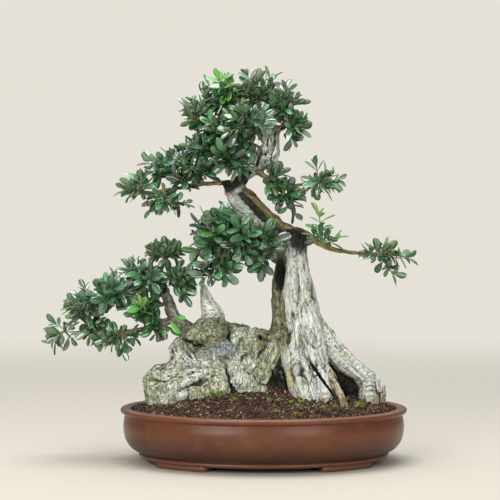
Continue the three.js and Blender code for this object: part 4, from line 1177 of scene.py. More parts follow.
# %% The sprays
SPRAYS = {
    "crown_top": ((-8, 2, 596), (-16, 0, 616), (36, 42, 34), [(10, 2, 640), (-26, -6, 643)], 13),
    "crown_peak": ((-46, 0, 608), (-66, 0, 610), (32, 42, 32), [(-60, -6, 634), (-88, 6, 626)], 12),
    "crown_left": ((-96, 4, 559), (-108, 4, 578), (28, 40, 34), [(-124, -6, 592), (-98, -10, 610)], 11),
    "crown_left_low": ((-80, -4, 519), (-100, -8, 524), (34, 36, 26),
                       [(-126, -8, 522), (-108, -16, 496)], 11),
    "crown_right_top": ((33, -2, 564), (30, 0, 596), (28, 42, 32), [(36, -8, 622), (54, 4, 600)], 11),
    "crown_right": ((33, -2, 563), (46, -6, 562), (26, 36, 28), [(60, -8, 560), (48, -12, 538)], 11),
    "crown_front": ((-15, -36, 563), (-30, -52, 568), (42, 30, 34), [(-54, -66, 552), (-4, -74, 560)], 14),
    "crown_back": ((-7, 40, 562), (-28, 56, 574), (48, 32, 36), [(-66, 64, 562), (12, 64, 560)], 14),
    "crown_under": ((-62, 2, 516), (-56, -30, 504), (34, 28, 30), [(-36, -40, 494), (-66, -44, 516)], 10),
    "left_outer": ((-198, -7, 450), (-208, -6, 458), (30, 34, 22), [(-230, -6, 456), (-206, -14, 472)], 8),
    "left_top": ((-154, 5, 485), (-166, 2, 492), (34, 40, 30), [(-154, -4, 514), (-190, 6, 502)], 10),
    "left_low": ((-168, -7, 455), (-164, -16, 438), (34, 34, 26), [(-184, -18, 426), (-132, -24, 434)], 9),
    "centre_left": ((-52, -41, 376), (-86, -48, 378), (30, 36, 34), [(-102, -46, 396), (-106, -54, 358)], 10),
    "centre_low": ((-68, -49, 354), (-70, -62, 336), (38, 34, 30), [(-96, -66, 312), (-64, -76, 316)], 11),
    "centre_mid": ((-40, -31, 390), (-36, -62, 376), (32, 30, 32), [(-40, -76, 398), (-32, -82, 352)], 10),
    "centre_right": ((1, -46, 352), (-8, -62, 348), (24, 28, 26), [(-4, -70, 330), (10, -60, 362)], 7),
    "back_left": ((-44, 71, 375), (-66, 84, 366), (40, 36, 32), [(-96, 88, 352), (-70, 108, 346)], 9),
    "back_right": ((-9, 76, 367), (-6, 92, 356), (38, 34, 30), [(24, 96, 346), (-12, 114, 342)], 8),
    "low_tip": ((-328, -7, 230), (-336, -4, 214), (30, 30, 24), [(-352, -6, 202), (-346, -2, 230)], 3),
    "low_left": ((-294, -10, 252), (-300, -16, 258), (36, 42, 32), [(-322, -16, 262), (-298, -20, 290)], 10),
    "low_mid": ((-250, -12, 280), (-250, -30, 284), (36, 40, 30), [(-246, -30, 308), (-262, -58, 272)], 11),
    "low_back": ((-228, 41, 286), (-250, 54, 282), (42, 34, 32), [(-282, 58, 272), (-248, 78, 272)], 10),
    "low_right": ((-192, -7, 294), (-200, -26, 312), (38, 40, 32), [(-222, -28, 324), (-186, -56, 306)], 12),
    "low_heart": ((-158, -2, 262), (-184, -20, 268), (32, 36, 26), [(-206, -40, 262), (-178, -46, 286)], 9),
    "low_top": ((-166, 6, 335), (-164, 4, 350), (34, 38, 22), [(-146, 0, 352), (-186, -8, 356)], 9),
    "low_under": ((-232, -33, 219), (-240, -40, 212), (44, 34, 22), [(-276, -42, 208), (-234, -56, 194)], 9),
    "low_inner": ((-190, -23, 227), (-178, -40, 236), (30, 28, 24), [(-156, -46, 226), (-178, -56, 218)], 7),
    "right_near": ((33, -13, 448), (40, -22, 446), (26, 28, 28), [(48, -18, 418), (18, -30, 478)], 8),
    "right_far": ((86, -13, 474), (98, -14, 468), (34, 34, 26), [(88, -12, 492), (122, -16, 474)], 8),
    "low_right_near": ((98, -17, 363), (98, -22, 374), (26, 26, 18), [(120, -22, 376), (82, -30, 382)], 3),
    "low_right_far": ((186, -7, 347), (196, -8, 350), (34, 30, 22), [(240, -8, 342), (216, -8, 316)], 9),
    "crown_heart": ((-66, 5, 533), (-72, -22, 552), (34, 30, 30), [(-52, -40, 548), (-88, -38, 566)], 11),
    "left_inner": ((-100, -1, 466), (-112, -14, 490), (36, 32, 26), [(-130, -20, 506), (-92, -26, 498)], 11),
    "crown_low_right": ((1, -5, 477), (14, -24, 476), (22, 22, 18), [(24, -30, 482), (8, -34, 466)], 4),
    "centre_top": ((-34, -18, 398), (-58, -46, 406), (36, 28, 20), [(-92, -52, 408), (-46, -60, 416)], 10),
    "centre_near": ((0, -32, 368), (2, -50, 378), (20, 24, 20), [(16, -54, 372), (0, -66, 388)], 5),
    "low_link": ((-173, 3, 318), (-138, -22, 306), (30, 32, 34), [(-118, -24, 316), (-134, -42, 284)], 12),
    "low_fore": ((-309, -9, 243), (-286, -22, 226), (24, 26, 20), [(-268, -26, 232), (-286, -34, 212)], 6),
    "crown_low_front": ((-8, -21, 552), (-36, -36, 536), (26, 26, 24), [(-20, -44, 524), (-50, -46, 530)], 8),
    "low_middle": ((-196, -25, 226), (-206, -34, 256), (26, 28, 22), [(-222, -40, 262), (-196, -52, 250)], 8),
    "left_link": ((-128, -4, 461), (-134, -18, 472), (24, 26, 20), [(-120, -30, 462), (-146, -28, 480)], 5),
}
YOUNG_PLACES = [(-74, -4, 634), (90, -14, 420), (134, -20, 378), (-206, -30, 268), (-146, -34, 244)]
YOUNG_SHOOTS = {  # how young, then the tips
    "crown_peak": (1.0, [(-74, -34, 636), (-60, -30, 628)]), "low_inner": (1.0, [(-146, -48, 246)]),
    "low_middle": (0.6, [(-202, -62, 264)]), "low_right_near": (0.8, [(92, -20, 414)]),
}
YOUNG_NEAR = 20.0
GOLDEN_ANGLE = math.pi * (3 - math.sqrt(5))
LEAF_SEED = 4107
print("sprays:", len(SPRAYS), "shoots:", sum(2 + spray[4] for spray in SPRAYS.values()))


# %% Shoots of a spray
SHOOT_SHORT = 14.0           # how far inside the clump's edge a shoot ends
TOP_SHOOT, LOW_SHOOT = 0.96, -0.82
DEPTHS = (1.0, 0.62, 0.88)   # shares of the way out, taken in turn
FULLNESS = {"centre": 0.92, "crown": 1.3, "back": 1.2}   # how many times the listed number of shoots
COMMON_FULLNESS = 1.35


def shoot_tips(heart, reach, tips, more, fullness=COMMON_FULLNESS):
    """The chosen tips, then others spread evenly over the clump and through its depth."""
    found = [np.array(tip, float) for tip in tips]
    more = round(more * fullness)
    for k in range(more):
        height = TOP_SHOOT + (LOW_SHOOT - TOP_SHOOT) * (k + 0.5) / more
        across = math.sqrt(1 - height * height)
        angle = GOLDEN_ANGLE * (k + 1) + heart[0]
        outside = np.array([across * math.cos(angle), across * math.sin(angle), height])
        found.append(np.array(heart) + (np.array(reach) - SHOOT_SHORT) * outside * DEPTHS[k % len(DEPTHS)])
    return found


def tube(path, radii, sides):
    """A round rod along a path: its corners and faces."""
    path = np.asarray(path, float)
    run = unit(np.gradient(path, axis=0))
    level = np.where(np.abs(run[:, 2:]) > 0.9, [[1.0, 0, 0]], [[0, 0, 1.0]])
    side = unit(np.cross(level, run))
    above = np.cross(run, side)
    angle = np.arange(sides) * 2 * math.pi / sides
    ring = side[:, None] * np.cos(angle)[:, None] + above[:, None] * np.sin(angle)[:, None]
    points = (path[:, None] + ring * np.asarray(radii)[:, None, None]).reshape(-1, 3)
    ends = [list(range(sides))[::-1], list(range(len(points) - sides, len(points)))]
    return points, faces_between(len(path), sides) + ends


print("tips of the crown's top:", len(shoot_tips(*SPRAYS["crown_top"][1:])))

# %% [markdown]
# A shoot rises a little in an arc from the branchlet to its tip. Going back from the tip it carries a
# crowded rosette and then pairs of leaves. A leaf leans out from the shoot, least at the tip, and
# turns its upper face away from the middle of the clump and a little up, as a leaf that wants light
# does.

# %% Leaves of a shoot
PAIR_STEP = 7.5              # between pairs of leaves, along the shoot
LEANS = (0.5, 0.86, 1.08, 1.2, 1.28)
LEAF_LENGTH = 25.0
LEAF_SHAPES = {  # how large and how slim the leaves are in each part of the tree
    "crown": (1.08, 0.86), "left": (1.0, 0.92), "centre": (1.22, 1.06), "back": (1.2, 1.0),
    "low": (0.98, 0.94), "right": (1.08, 0.95),
}
LIGHT_TURN = 0.52            # how far a leaf's face turns from the shoot towards the light
TWIG_SIDES = 5


def arc(start, tip, lift):
    t = np.linspace(0, 1, 6)[:, None]
    middle = (start + tip) / 2 + [0, 0, lift]
    return (1 - t) ** 2 * start + 2 * t * (1 - t) * middle + t**2 * tip


def frames_of(path):
    run = unit(path[-1] - path[-2])
    level = np.array([1.0, 0, 0]) if abs(run[2]) > 0.9 else np.array([0, 0, 1.0])
    side = unit(np.cross(level, run))
    return run, side, np.cross(run, side)


def leaves_of(path, heart, draw, large, slim):
    """One row for each leaf: base, forward, up and its sizes."""
    step = PAIR_STEP * large
    run, side, above = frames_of(path)
    length = np.linalg.norm(np.diff(path, axis=0), axis=1).sum()
    travelled = np.append(0, np.cumsum(np.linalg.norm(np.diff(path, axis=0), axis=1)))
    turn = draw.uniform(0, math.pi)
    rows = []
    pairs = int(np.clip((length - 5) // step, 1, 4)) + 1
    for pair in range(pairs):
        back = 0.0 if pair == 0 else step * (pair - 0.35)
        base = np.array([np.interp(length - back, travelled, path[:, k]) for k in range(3)])
        for half in range(2):
            angle = turn + pair * math.pi / 2 + half * math.pi + draw.uniform(-0.3, 0.3)
            out = side * math.cos(angle) + above * math.sin(angle)
            lean = LEANS[pair] + draw.uniform(-0.2, 0.25)
            forward = run * math.cos(lean) + out * math.sin(lean)
            facing = run * math.sin(lean) - out * math.cos(lean)
            outward = unit(base - heart + [0, 0, 24.0])
            facing = facing * (1 - LIGHT_TURN) + outward * LIGHT_TURN + draw.normal(0, 0.46, 3)
            size = LEAF_LENGTH * large * draw.uniform(0.66, 1.22) * (0.84 if pair == 0 else 1.0)
            rows.append([*base, *forward, *facing, size, size * slim * draw.uniform(0.43, 0.58),
                         draw.uniform(0.08, 0.36), draw.uniform(-0.02, 0.16), draw.normal(0, 1.0)])
    return rows


path = arc(np.zeros(3), np.array([0, 0, 40.0]), 5)
sample = leaves_of(path, np.zeros(3), np.random.default_rng(3), 1.0, 1.0)
print("a 40 mm shoot carries", len(sample), "leaves")

# %% [markdown]
# ### The leaf's finish
# The wax on the upper side makes it dark and mirror-like, so it gets a clear coat over a fairly
# smooth green, with a paler midrib and faint side veins. The underside is covered in tiny scales and
# looks grey. Leaves in their first weeks are yellow-green and softer.


# %% Leaf and twig finishes
def make_leaf_top():
    finish = Finish("waxy_leaf", {"Specular IOR Level": 0.75, "Coat Roughness": 0.16, "Coat IOR": 1.95})
    across = finish.attribute("across").size()
    along = finish.attribute("along")
    tint = finish.attribute("tint")
    green = finish.tones(tint, "10291b", "428a4c")
    cloudy = finish.noise(finish.position(), 160.0, 3.0)
    green = finish.over(green, cloudy.ramp(0.4, 0.7) * 0.2, "2b5a44")
    green = finish.over(green, finish.attribute("young"), "58a634")
    slant = along * 46.0 - across * 9.0
    veins = finish.node("ShaderNodeMath", {"operation": "SINE"}, {0: slant}).ramp(0.7, 1.0)
    green = finish.over(green, veins * 0.08, "86a367")
    rib = 1 - across.ramp(0.02, 0.13)
    green = finish.over(green, rib * 0.34, "8dab6e")
    rim = across.ramp(0.88, 1.0) * 0.2
    green = finish.over(green, rim, "8aa062")
    relief = rib * -0.7 + veins * 0.25 + cloudy * 0.2
    rough = 0.28 + cloudy * 0.16
    normal = finish.bump(relief, 0.0004, 0.6)
    return finish.surface({"Base Color": green, "Roughness": rough, "Coat Weight": 0.75 + tint * 0.25,
                           "Normal": normal})


def make_leaf_under():
    finish = Finish("scaly_leaf_underside", {"Specular IOR Level": 0.35})
    fine = finish.noise(finish.position(), 900.0, 2.0)
    grey = finish.tones(fine.ramp(0.35, 0.65), "4c6743", "859d74")
    grey = finish.over(grey, finish.attribute("young") * 0.8, "9bbb5c")
    rib = 1 - finish.attribute("across").size().ramp(0.03, 0.2)
    grey = finish.over(grey, rib * 0.5, "b9c09a")
    normal = finish.bump(rib, 0.0006, 0.7)
    return finish.surface({"Base Color": grey, "Roughness": 0.62 + fine * 0.1, "Normal": normal})


def make_twig():
    finish = Finish("young_bark", {"Roughness": 0.7})
    rough = finish.noise(finish.stretched(finish.position(), (1, 1, 0.6)), 420.0, 4.0)
    bark = finish.tones(rough.ramp(0.35, 0.65), "5d5138", "a3966f")
    return finish.surface({"Base Color": bark, "Normal": finish.bump(rough, 0.0006, 0.7)})


leaf_finishes = [make_leaf_top(), make_leaf_under(), make_twig()]
print("leaf finishes:", [m.name for m in leaf_finishes])


# %% Where no leaf may be
BARE_PLACES = [((-157, 262), (20, 36)), ((-36, 431), (24, 19))]   # the middle in x and z, then half-sizes


def inside_wood(points, depth=0.5):
    """True where a point is sunk in the trunk or a branch."""
    deep = np.zeros(len(points), bool)
    for volume in (lower, upper):
        index = (points - volume.low) / volume.voxel
        held = ((index >= 0) & (index < np.array(volume.distance.shape) - 1)).all(axis=1)
        deep |= held & (volume.at(points, volume.distance) < -depth)
    return deep


def before_bare_wood(points):
    """True where a leaf would hide the low branch's elbow or the dead wood, which a grower keeps clear."""
    hides = np.zeros(len(points), bool)
    for middle, half in BARE_PLACES:
        away = (points[:, [0, 2]] - middle) / half
        hides |= ((away**2).sum(axis=1) < 1) & (points[:, 1] < 0)
    return hides


print(f"before the bare places lie {before_bare_wood(upper_points).mean():.1%} of the upper wood's corners")

# %% Grow every spray
ROOT_RADIUS, STEM_RADIUS, TIP_RADIUS = 2.3, 1.7, 0.75
FORK_AT = 0.75                        # the branchlet ends this far on its way to the clump's middle
SHOOT_STARTS = (0.5, 0.75, 1.0, 0.3)  # where the shoots leave the branchlet, taken in turn
TWIG_FINISH = 2


def shoots_of(name, number, root, heart, reach, tips, more):
    """The branchlet and its shoots, one row for each leaf, and how young each leaf is."""
    root = np.array(root, float)
    fork = root + (np.array(heart, float) - root) * FORK_AT
    middle_of_clump = np.array([heart[0], heart[1] * 0.4, heart[2] - 12.0])
    stems = [(arc(root, fork, 2), ROOT_RADIUS, STEM_RADIUS)]
    rows = []
    part = name.split("_")[0]
    grown = shoot_tips(heart, reach, tips, more, FULLNESS.get(part, COMMON_FULLNESS))
    youth, young_tips = YOUNG_SHOOTS.get(name, (0, []))
    fresh = []
    for k, tip in enumerate([*grown, *np.array(young_tips, float)]):
        draw = np.random.default_rng(LEAF_SEED + 97 * number + k)
        start = root + (fork - root) * SHOOT_STARTS[k % len(SHOOT_STARTS)]
        path = arc(start, tip, -0.1 * np.linalg.norm(tip - start) + draw.uniform(-2, 3))
        stems.append((path, STEM_RADIUS * 0.8, TIP_RADIUS))
        sprouted = leaves_of(path, middle_of_clump, draw, *LEAF_SHAPES[part])
        rows += sprouted
        fresh += [youth if k >= len(grown) else 0.0] * len(sprouted)
    return stems, np.array(rows), np.array(fresh)


def grow_spray(name, number, spray):
    stems, rows, fresh = shoots_of(name, number, *spray)
    leaves = grow_leaves(rows[:, 0:3], rows[:, 3:6], rows[:, 6:9], *rows[:, 9:14].T)
    clear = ~inside_wood(leaves[:, MIDDLE]) & ~inside_wood(leaves[:, -2]) & ~inside_wood(leaves[:, BLADE])
    clear &= ~before_bare_wood(leaves[:, MIDDLE])
    leaves, fresh = leaves[clear], fresh[clear]
    draw = np.random.default_rng(LEAF_SEED + number)
    gap = np.linalg.norm(leaves[:, None, BLADE] - np.array(YOUNG_PLACES), axis=2).min(axis=1)
    young = np.clip((YOUNG_NEAR - gap) / 6, 0, 1) * 0.7 + (draw.random(len(leaves)) < 0.03) * 0.5 + fresh
    corners = leaves.shape[1]
    points = [leaves.reshape(-1, 3)]
    faces = faces_of_leaves(len(leaves))
    kinds = np.tile(LEAF_UNDER, len(leaves)).tolist()
    count = len(points[0])
    for path, thick, thin in stems:
        tube_points, tube_faces = tube(path, np.linspace(thick, thin, len(path)), TWIG_SIDES)
        points.append(tube_points)
        faces += moved_on(tube_faces, count)
        kinds += [TWIG_FINISH] * len(tube_faces)
        count += len(tube_points)
    rest = np.zeros(count - len(points[0]))
    values = {
        "across": np.append(np.tile(LEAF_ACROSS, len(leaves)), rest),
        "along": np.append(np.tile(LEAF_ALONG, len(leaves)), rest),
        "tint": np.append(np.repeat(draw.random(len(leaves)) ** 1.5, corners), rest),
        "young": np.append(np.repeat(np.clip(young, 0, 1), corners), rest),
    }
    piece = make_piece(f"leafy_shoots_{name}", np.vstack(points), faces, leaf_finishes, values, kinds)
    settle(piece, "leafy_sprays", f"spray_{name}")
    return len(leaves)


leaf_counts = [grow_spray(name, number, spray) for number, (name, spray) in enumerate(SPRAYS.items())]
print("leaves:", sum(leaf_counts))

# %% [markdown]
# ## The pot
# The pot is pressed or thrown from dark red clay and fired without a glaze. Its section is all soft
# corners: a rounded lip with a shadow line under it, a full belly, a bead round the foot. The section
# is listed as corners, each with the radius that rounds it, and turned round an oval. The wall keeps
# its thickness because the oval shrinks by the same amount on both axes.

# %% The pot's section
OVAL_STEP = POT_HALF_WIDTH - POT_HALF_DEPTH
FLOOR_EDGE = 150.0
LIP_INSIDE = 221.0
FLOOR_TOP = 20.0
POT_SECTION = [  # half-width, height and rounding of each corner
    (0.0, 11.0, 0), (192.5, 11.0, 1.0), (193.5, 8.0, 0.8), (205.5, 8.0, 2.6), (211.0, 12.6, 4.2),
    (206.6, 17.6, 1.6), (212.0, 18.6, 1.8), (222.0, 24.0, 10), (232.2, 37.0, 22), (236.6, 60.0, 34),
    (232.6, 81.6, 1.6), (237.6, 82.6, 1.4), (240.0, 85.0, 2.2), (240.0, 90.0, 3.4), (235.0, 92.0, 3.4),
    (223.0, 91.2, 3.0), (221.0, 82.0, 4.0), (226.0, 74.0, 6), (223.0, 44.0, 16), (196.0, 20.0, 8),
    (150.0, 20.0, 0), (0.0, 20.0, 0),
]
ARC_STEPS = 5


def depth_of(r):
    return np.where(r > FLOOR_EDGE, r - OVAL_STEP, r * (FLOOR_EDGE - OVAL_STEP) / FLOOR_EDGE)


def rounded(section):
    """The section with an arc at every corner that has a rounding."""
    corners = np.array([corner[:2] for corner in section])
    line = []
    for k, (_, _, rounding) in enumerate(section):
        here = corners[k]
        if not rounding:
            line.append(here)
            continue
        back, on = corners[k - 1] - here, corners[k + 1] - here
        cut = min(rounding, 0.48 * np.linalg.norm(back), 0.48 * np.linalg.norm(on))
        start, end = here + unit(back) * cut, here + unit(on) * cut
        for t in np.linspace(0, 1, ARC_STEPS):
            line.append((1 - t) ** 2 * start + 2 * t * (1 - t) * here + t**2 * end)
    return np.array(line)


pot_line = rounded(POT_SECTION)
print("the section has", len(pot_line), "points")

# %% Turn the section into a pot
POT_TURNS = 224
FOOT_ARCS = [(30, 62), (118, 150), (210, 242), (298, 330)]
FOOT_OUTSIDE, FOOT_INSIDE, FOOT_TOP, FOOT_ROUNDING = 205.0, 176.0, 12.0, 1.2
FOOT_STEPS = 17


def oval_ring(r, height, angles):
    return np.stack([r * np.cos(angles), depth_of(r) * np.sin(angles), np.full(len(angles), height)], axis=1)


def turned(line, turns):
    """Points and faces of a closed body turned from a line that starts and ends on the axis."""
    angles = np.arange(turns) * 2 * math.pi / turns
    rings = [oval_ring(r, height, angles) for r, height in line[1:-1]]
    points = np.vstack([*rings, [[0, 0, line[0][1]]], [[0, 0, line[-1][1]]]])
    faces = faces_between(len(rings), turns)
    bottom, top = len(points) - 2, len(points) - 1
    last = (len(rings) - 1) * turns
    for k in range(turns):
        faces.append([k, bottom, (k + 1) % turns])
        faces.append([last + k, last + (k + 1) % turns, top])
    return points, faces


def foot(start, end):
    """A low foot under the rim: a curved block, rounded where it meets the table."""
    angles = np.radians(np.linspace(start, end, FOOT_STEPS))
    heights = [(FOOT_ROUNDING, 0.0), (0.0, FOOT_ROUNDING), (0.0, FOOT_TOP)]
    rings = []
    for inset, height in heights:
        side = math.degrees(inset / FOOT_OUTSIDE)
        walk = np.clip(np.degrees(angles), start + side, end - side)
        outer = oval_ring(np.full(FOOT_STEPS, FOOT_OUTSIDE - inset), height, np.radians(walk))
        inner = oval_ring(np.full(FOOT_STEPS, FOOT_INSIDE + inset), height, np.radians(walk))[::-1]
        rings.append(np.vstack([outer, inner]))
    wide = len(rings[0])
    faces = faces_between(len(rings), wide)
    top = (len(rings) - 1) * wide
    for k in range(FOOT_STEPS - 1):
        faces.append([wide - 1 - k, wide - 2 - k, k + 1, k])
        faces.append([top + k, top + k + 1, top + wide - 2 - k, top + wide - 1 - k])
    return np.vstack(rings), faces


pot_points, pot_faces = turned(pot_line, POT_TURNS)
for start, end in FOOT_ARCS:
    foot_points, foot_faces = foot(start, end)
    pot_faces += moved_on(foot_faces, len(pot_points))
    pot_points = np.vstack([pot_points, foot_points])
print("pot:", len(pot_faces), "faces with its feet")


# %% [markdown]
# Unglazed stoneware is never one brown. Iron in the clay burns in soft clouds, fine grog shows as
# dark and light specks, and handling polishes the lip. The gloss is low and broad, like a river
# stone, which comes from the roughness and not from a coat.


# %% Stoneware
def make_stoneware():
    finish = Finish("unglazed_stoneware", {"Specular IOR Level": 0.46})
    spot = finish.position()
    clouds = finish.noise(spot, 9.0, 4.0, 0.5)
    patches = finish.noise(spot, 42.0, 5.0, 0.6)
    grog = finish.noise(spot, 900.0, 2.0, 0.6)
    body = finish.tones(clouds.ramp(0.34, 0.68), "532a14", "65371c")
    body = finish.over(body, patches.ramp(0.45, 0.7) * 0.4, "784329")
    body = finish.over(body, grog.ramp(0.62, 0.74) * 0.3, "9a705a")
    body = finish.over(body, (1 - grog.ramp(0.28, 0.38)) * 0.35, "3c211a")
    height = finish.node("ShaderNodeSeparateXYZ", {}, {0: spot}, "Z")
    # Painted shade: the belly is darker towards the foot, where it turns away from the light above.
    body = finish.over(body, (1 - height.ramp(0.014, 0.07)) * 0.85, "35180b")
    # Painted highlight: the foot bead and the feet are lighter, as where they catch the light.
    body = finish.over(body, (1 - height.ramp(0.013, 0.0195)) * 0.55, "80533a")
    worn = height.ramp(0.0895, 0.0915) * 0.3
    body = finish.over(body, worn, "86684c")
    wiped = finish.noise(finish.stretched(spot, (6, 6, 140)), 1.0, 3.0)
    rough = 0.24 + patches * 0.08 + wiped * 0.05
    relief = grog * 0.5 + patches * 0.5 + wiped * 0.5
    normal = finish.bump(relief, 0.0004, 0.5)
    return finish.surface({"Base Color": body, "Roughness": rough, "Normal": normal})


stoneware = make_stoneware()
print("finish of the pot:", stoneware.name)

# %% Drill the drain holes
DRAIN_X, DRAIN_RADIUS = 90.0, 10.0
BIT_SIDES, BIT_LOW, BIT_HIGH = 40, 5.0, 26.0


def drill(piece, x):
    """Cuts a round hole through the floor with a bit that is thrown away afterwards."""
    angles = np.arange(BIT_SIDES) * 2 * math.pi / BIT_SIDES
    ring = np.stack([DRAIN_RADIUS * np.cos(angles) + x, DRAIN_RADIUS * np.sin(angles)], axis=1)
    points = np.vstack([np.column_stack([ring, np.full(BIT_SIDES, z)]) for z in (BIT_LOW, BIT_HIGH)])
    ends = [list(range(BIT_SIDES))[::-1], list(range(BIT_SIDES, 2 * BIT_SIDES))]
    bit = make_piece("drain_bit", points, faces_between(2, BIT_SIDES) + ends, [stoneware])
    cut = piece.modifiers.new("drain_hole", "BOOLEAN")
    cut.operation = "DIFFERENCE"
    cut.solver = "EXACT"
    cut.object = bit
    with bpy.context.temp_override(object=piece, active_object=piece):
        bpy.ops.object.modifier_apply(modifier=cut.name)
    bpy.data.objects.remove(bit)


pot = make_piece("stoneware_pot", pot_points, pot_faces, [stoneware])
drill(pot, -DRAIN_X)
drill(pot, DRAIN_X)
settle(pot, "stoneware", "pot")

# %% [markdown]
# ## Soil
# Bonsai soil is not earth but grains of fired clay and lava, so that roots get air. From close by it
# reads as thousands of separate grains. A rough bed closes the pot, and grains are strewn over it: an
# icosahedron, the roundest solid with few faces, pushed out of shape by chance. A grain that would
# lie in the wood is left out.

# %% The soil's mound
SOIL_EDGE_HEIGHT, SOIL_MOUND, SOIL_ROOT_MOUND = 88.0, 38.0, 8.0
SOIL_ROOT_AT, SOIL_ROOT_SPREAD = np.array([192.0, -14.0]), 34.0
LIP_DEPTH = float(depth_of(np.array(LIP_INSIDE)))


def soil_height(x, y):
    inward = np.maximum(0, 1 - (x / LIP_INSIDE) ** 2 - (y / LIP_DEPTH) ** 2)
    away = np.hypot(x - SOIL_ROOT_AT[0], y - SOIL_ROOT_AT[1]) / SOIL_ROOT_SPREAD
    heap = np.exp(-away * away) * np.minimum(1, 6 * inward)
    return SOIL_EDGE_HEIGHT + SOIL_MOUND * inward + SOIL_ROOT_MOUND * heap - 1.2


def make_bed():
    """The fill: walls just inside the pot's, and a finely divided, uneven top."""
    walls = [(0.0, 20.4), (195.0, 20.4), (221.5, 44.0), (224.0, 72.0), (220.4, 82.0)]
    tops = [(r, 92.0) for r in np.linspace(220.4, 3.0, 54)]
    points, faces = turned(np.array(walls + tops + [(0.0, 92.0)]), 160)
    top = points[:, 2] == 92.0
    x, y = points[top, 0], points[top, 1]
    flat = np.stack([x, y, np.zeros(len(x))], axis=1)
    points[top, 2] = soil_height(x, y) + 2.2 * noise(flat / 15, 21) + 1.6 * noise(flat / 5, 22)
    return points, faces


bed_points, bed_faces = make_bed()
print("the bed has", len(bed_faces), "faces and is", round(float(bed_points[:, 2].max())), "mm high")

# %% Grains
GRAIN_COUNT = 8600
PHI = (1 + math.sqrt(5)) / 2
ICO_POINTS = unit(np.array([(-1, PHI, 0), (1, PHI, 0), (-1, -PHI, 0), (1, -PHI, 0), (0, -1, PHI), (0, 1, PHI),
                            (0, -1, -PHI), (0, 1, -PHI), (PHI, 0, -1), (PHI, 0, 1), (-PHI, 0, -1),
                            (-PHI, 0, 1)], float))
ICO_FACES = np.array([(0, 11, 5), (0, 5, 1), (0, 1, 7), (0, 7, 10), (0, 10, 11), (1, 5, 9), (5, 11, 4),
                      (11, 10, 2), (10, 7, 6), (7, 1, 8), (3, 9, 4), (3, 4, 2), (3, 2, 6), (3, 6, 8),
                      (3, 8, 9), (4, 9, 5), (2, 4, 11), (6, 2, 10), (8, 6, 7), (9, 8, 1)])
GRAIN_CORNERS = len(ICO_POINTS)


def strew(places, radii, draw, squash=(0.6, 1.15)):
    """Irregular grains at the places: corners and faces."""
    count = len(places)
    bumps = draw.uniform(0.72, 1.18, (count, GRAIN_CORNERS, 1))
    shape = ICO_POINTS * bumps * draw.uniform(*squash, (count, 1, 3))
    turn = unit(draw.normal(size=(count, 3, 3)))
    turn[:, 1] = unit(turn[:, 1] - turn[:, 0] * (turn[:, 0] * turn[:, 1]).sum(axis=1, keepdims=True))
    turn[:, 2] = np.cross(turn[:, 0], turn[:, 1])
    shape = np.einsum("nij,njk->nik", shape, turn) * radii[:, None, None]
    faces = (ICO_FACES + np.arange(count)[:, None, None] * GRAIN_CORNERS).reshape(-1, 3)
    return (places[:, None] + shape).reshape(-1, 3), faces


def soil_places(count, draw, margin=3.0):
    angle = draw.uniform(0, 2 * math.pi, count)
    reach = np.sqrt(draw.uniform(0, 1, count))
    x = (LIP_INSIDE - margin) * reach * np.cos(angle)
    y = (LIP_DEPTH - margin) * reach * np.sin(angle)
    return np.stack([x, y, soil_height(x, y)], axis=1)


draw = np.random.default_rng(815)
places = soil_places(GRAIN_COUNT * 5 // 4, draw)
places = places[~inside_wood(places + [0, 0, 3], 1.5)][:GRAIN_COUNT]
radii = draw.lognormal(0.55, 0.32, len(places)).clip(1.0, 3.4)
places[:, 2] += draw.uniform(0.0, 1.0, len(places)) * radii
grain_points, grain_faces = strew(places, radii, draw)
print("grains:", len(places))


# %% Soil finish
GRAIN_TONES = {0.0: "241a12", 0.3: "3b2a20", 0.55: "54392c", 0.72: "5b4a42",
               0.84: "6b4f3a", 0.93: "7d6a48", 0.975: "b39c70", 1.0: "5f6236"}


def make_soil():
    finish = Finish("fired_clay_and_lava", {"Specular IOR Level": 0.3})
    shade = finish.attribute("shade")
    spot = finish.position()
    fine = finish.noise(spot, 700.0, 4.0, 0.6)
    stops = [(share, colour(code)) for share, code in GRAIN_TONES.items()]
    grain = finish.node("ShaderNodeValToRGB", {"stops": stops}, {"Fac": shade})
    grain = finish.over(grain, fine.ramp(0.35, 0.7) * 0.45, "160d0a")
    normal = finish.bump(fine, 0.0008, 0.8)
    return finish.surface({"Base Color": grain, "Roughness": 0.88 + fine * 0.1, "Normal": normal})


soil_finish = make_soil()
bed_values = {"shade": 0.2 + 0.35 * (noise(bed_points / 4, 23) + 0.5)}
bed = make_piece("soil_bed", bed_points, bed_faces, [soil_finish], bed_values)
settle(bed, "granular_soil", "soil")
grain_values = {"shade": np.repeat(draw.random(len(places)), GRAIN_CORNERS)}
grains = make_piece("soil_grains", grain_points, grain_faces.tolist(), [soil_finish], grain_values)
settle(grains, "granular_soil", "soil")

# %% [markdown]
# ## What lives on the soil
# Moss creeps in from the shaded side of the roots, and a few seedlings come up round the trunk. Moss
# is a heap of very small green grains, closely packed. A seedling is a rosette of small bright leaves,
# made by the same function as the tree's own.

# %% Moss cushions
MOSS_SPOTS = 46                   # cushions at chance places
MOSS_NEAR = [(-22, -86), (6, -92), (28, -96), (52, -104), (70, -108), (-44, -80), (112, -96), (150, -60)]
MOSS_GRAINS, MOSS_RISE = 7, 2.4   # grains for a millimetre of spread, and how high a cushion rises


def moss_middles(draw):
    chosen = np.array(MOSS_NEAR, float) + draw.normal(0, 3, (len(MOSS_NEAR), 2))
    others = soil_places(MOSS_SPOTS, draw, 14)[:, :2]
    return np.vstack([chosen, others])


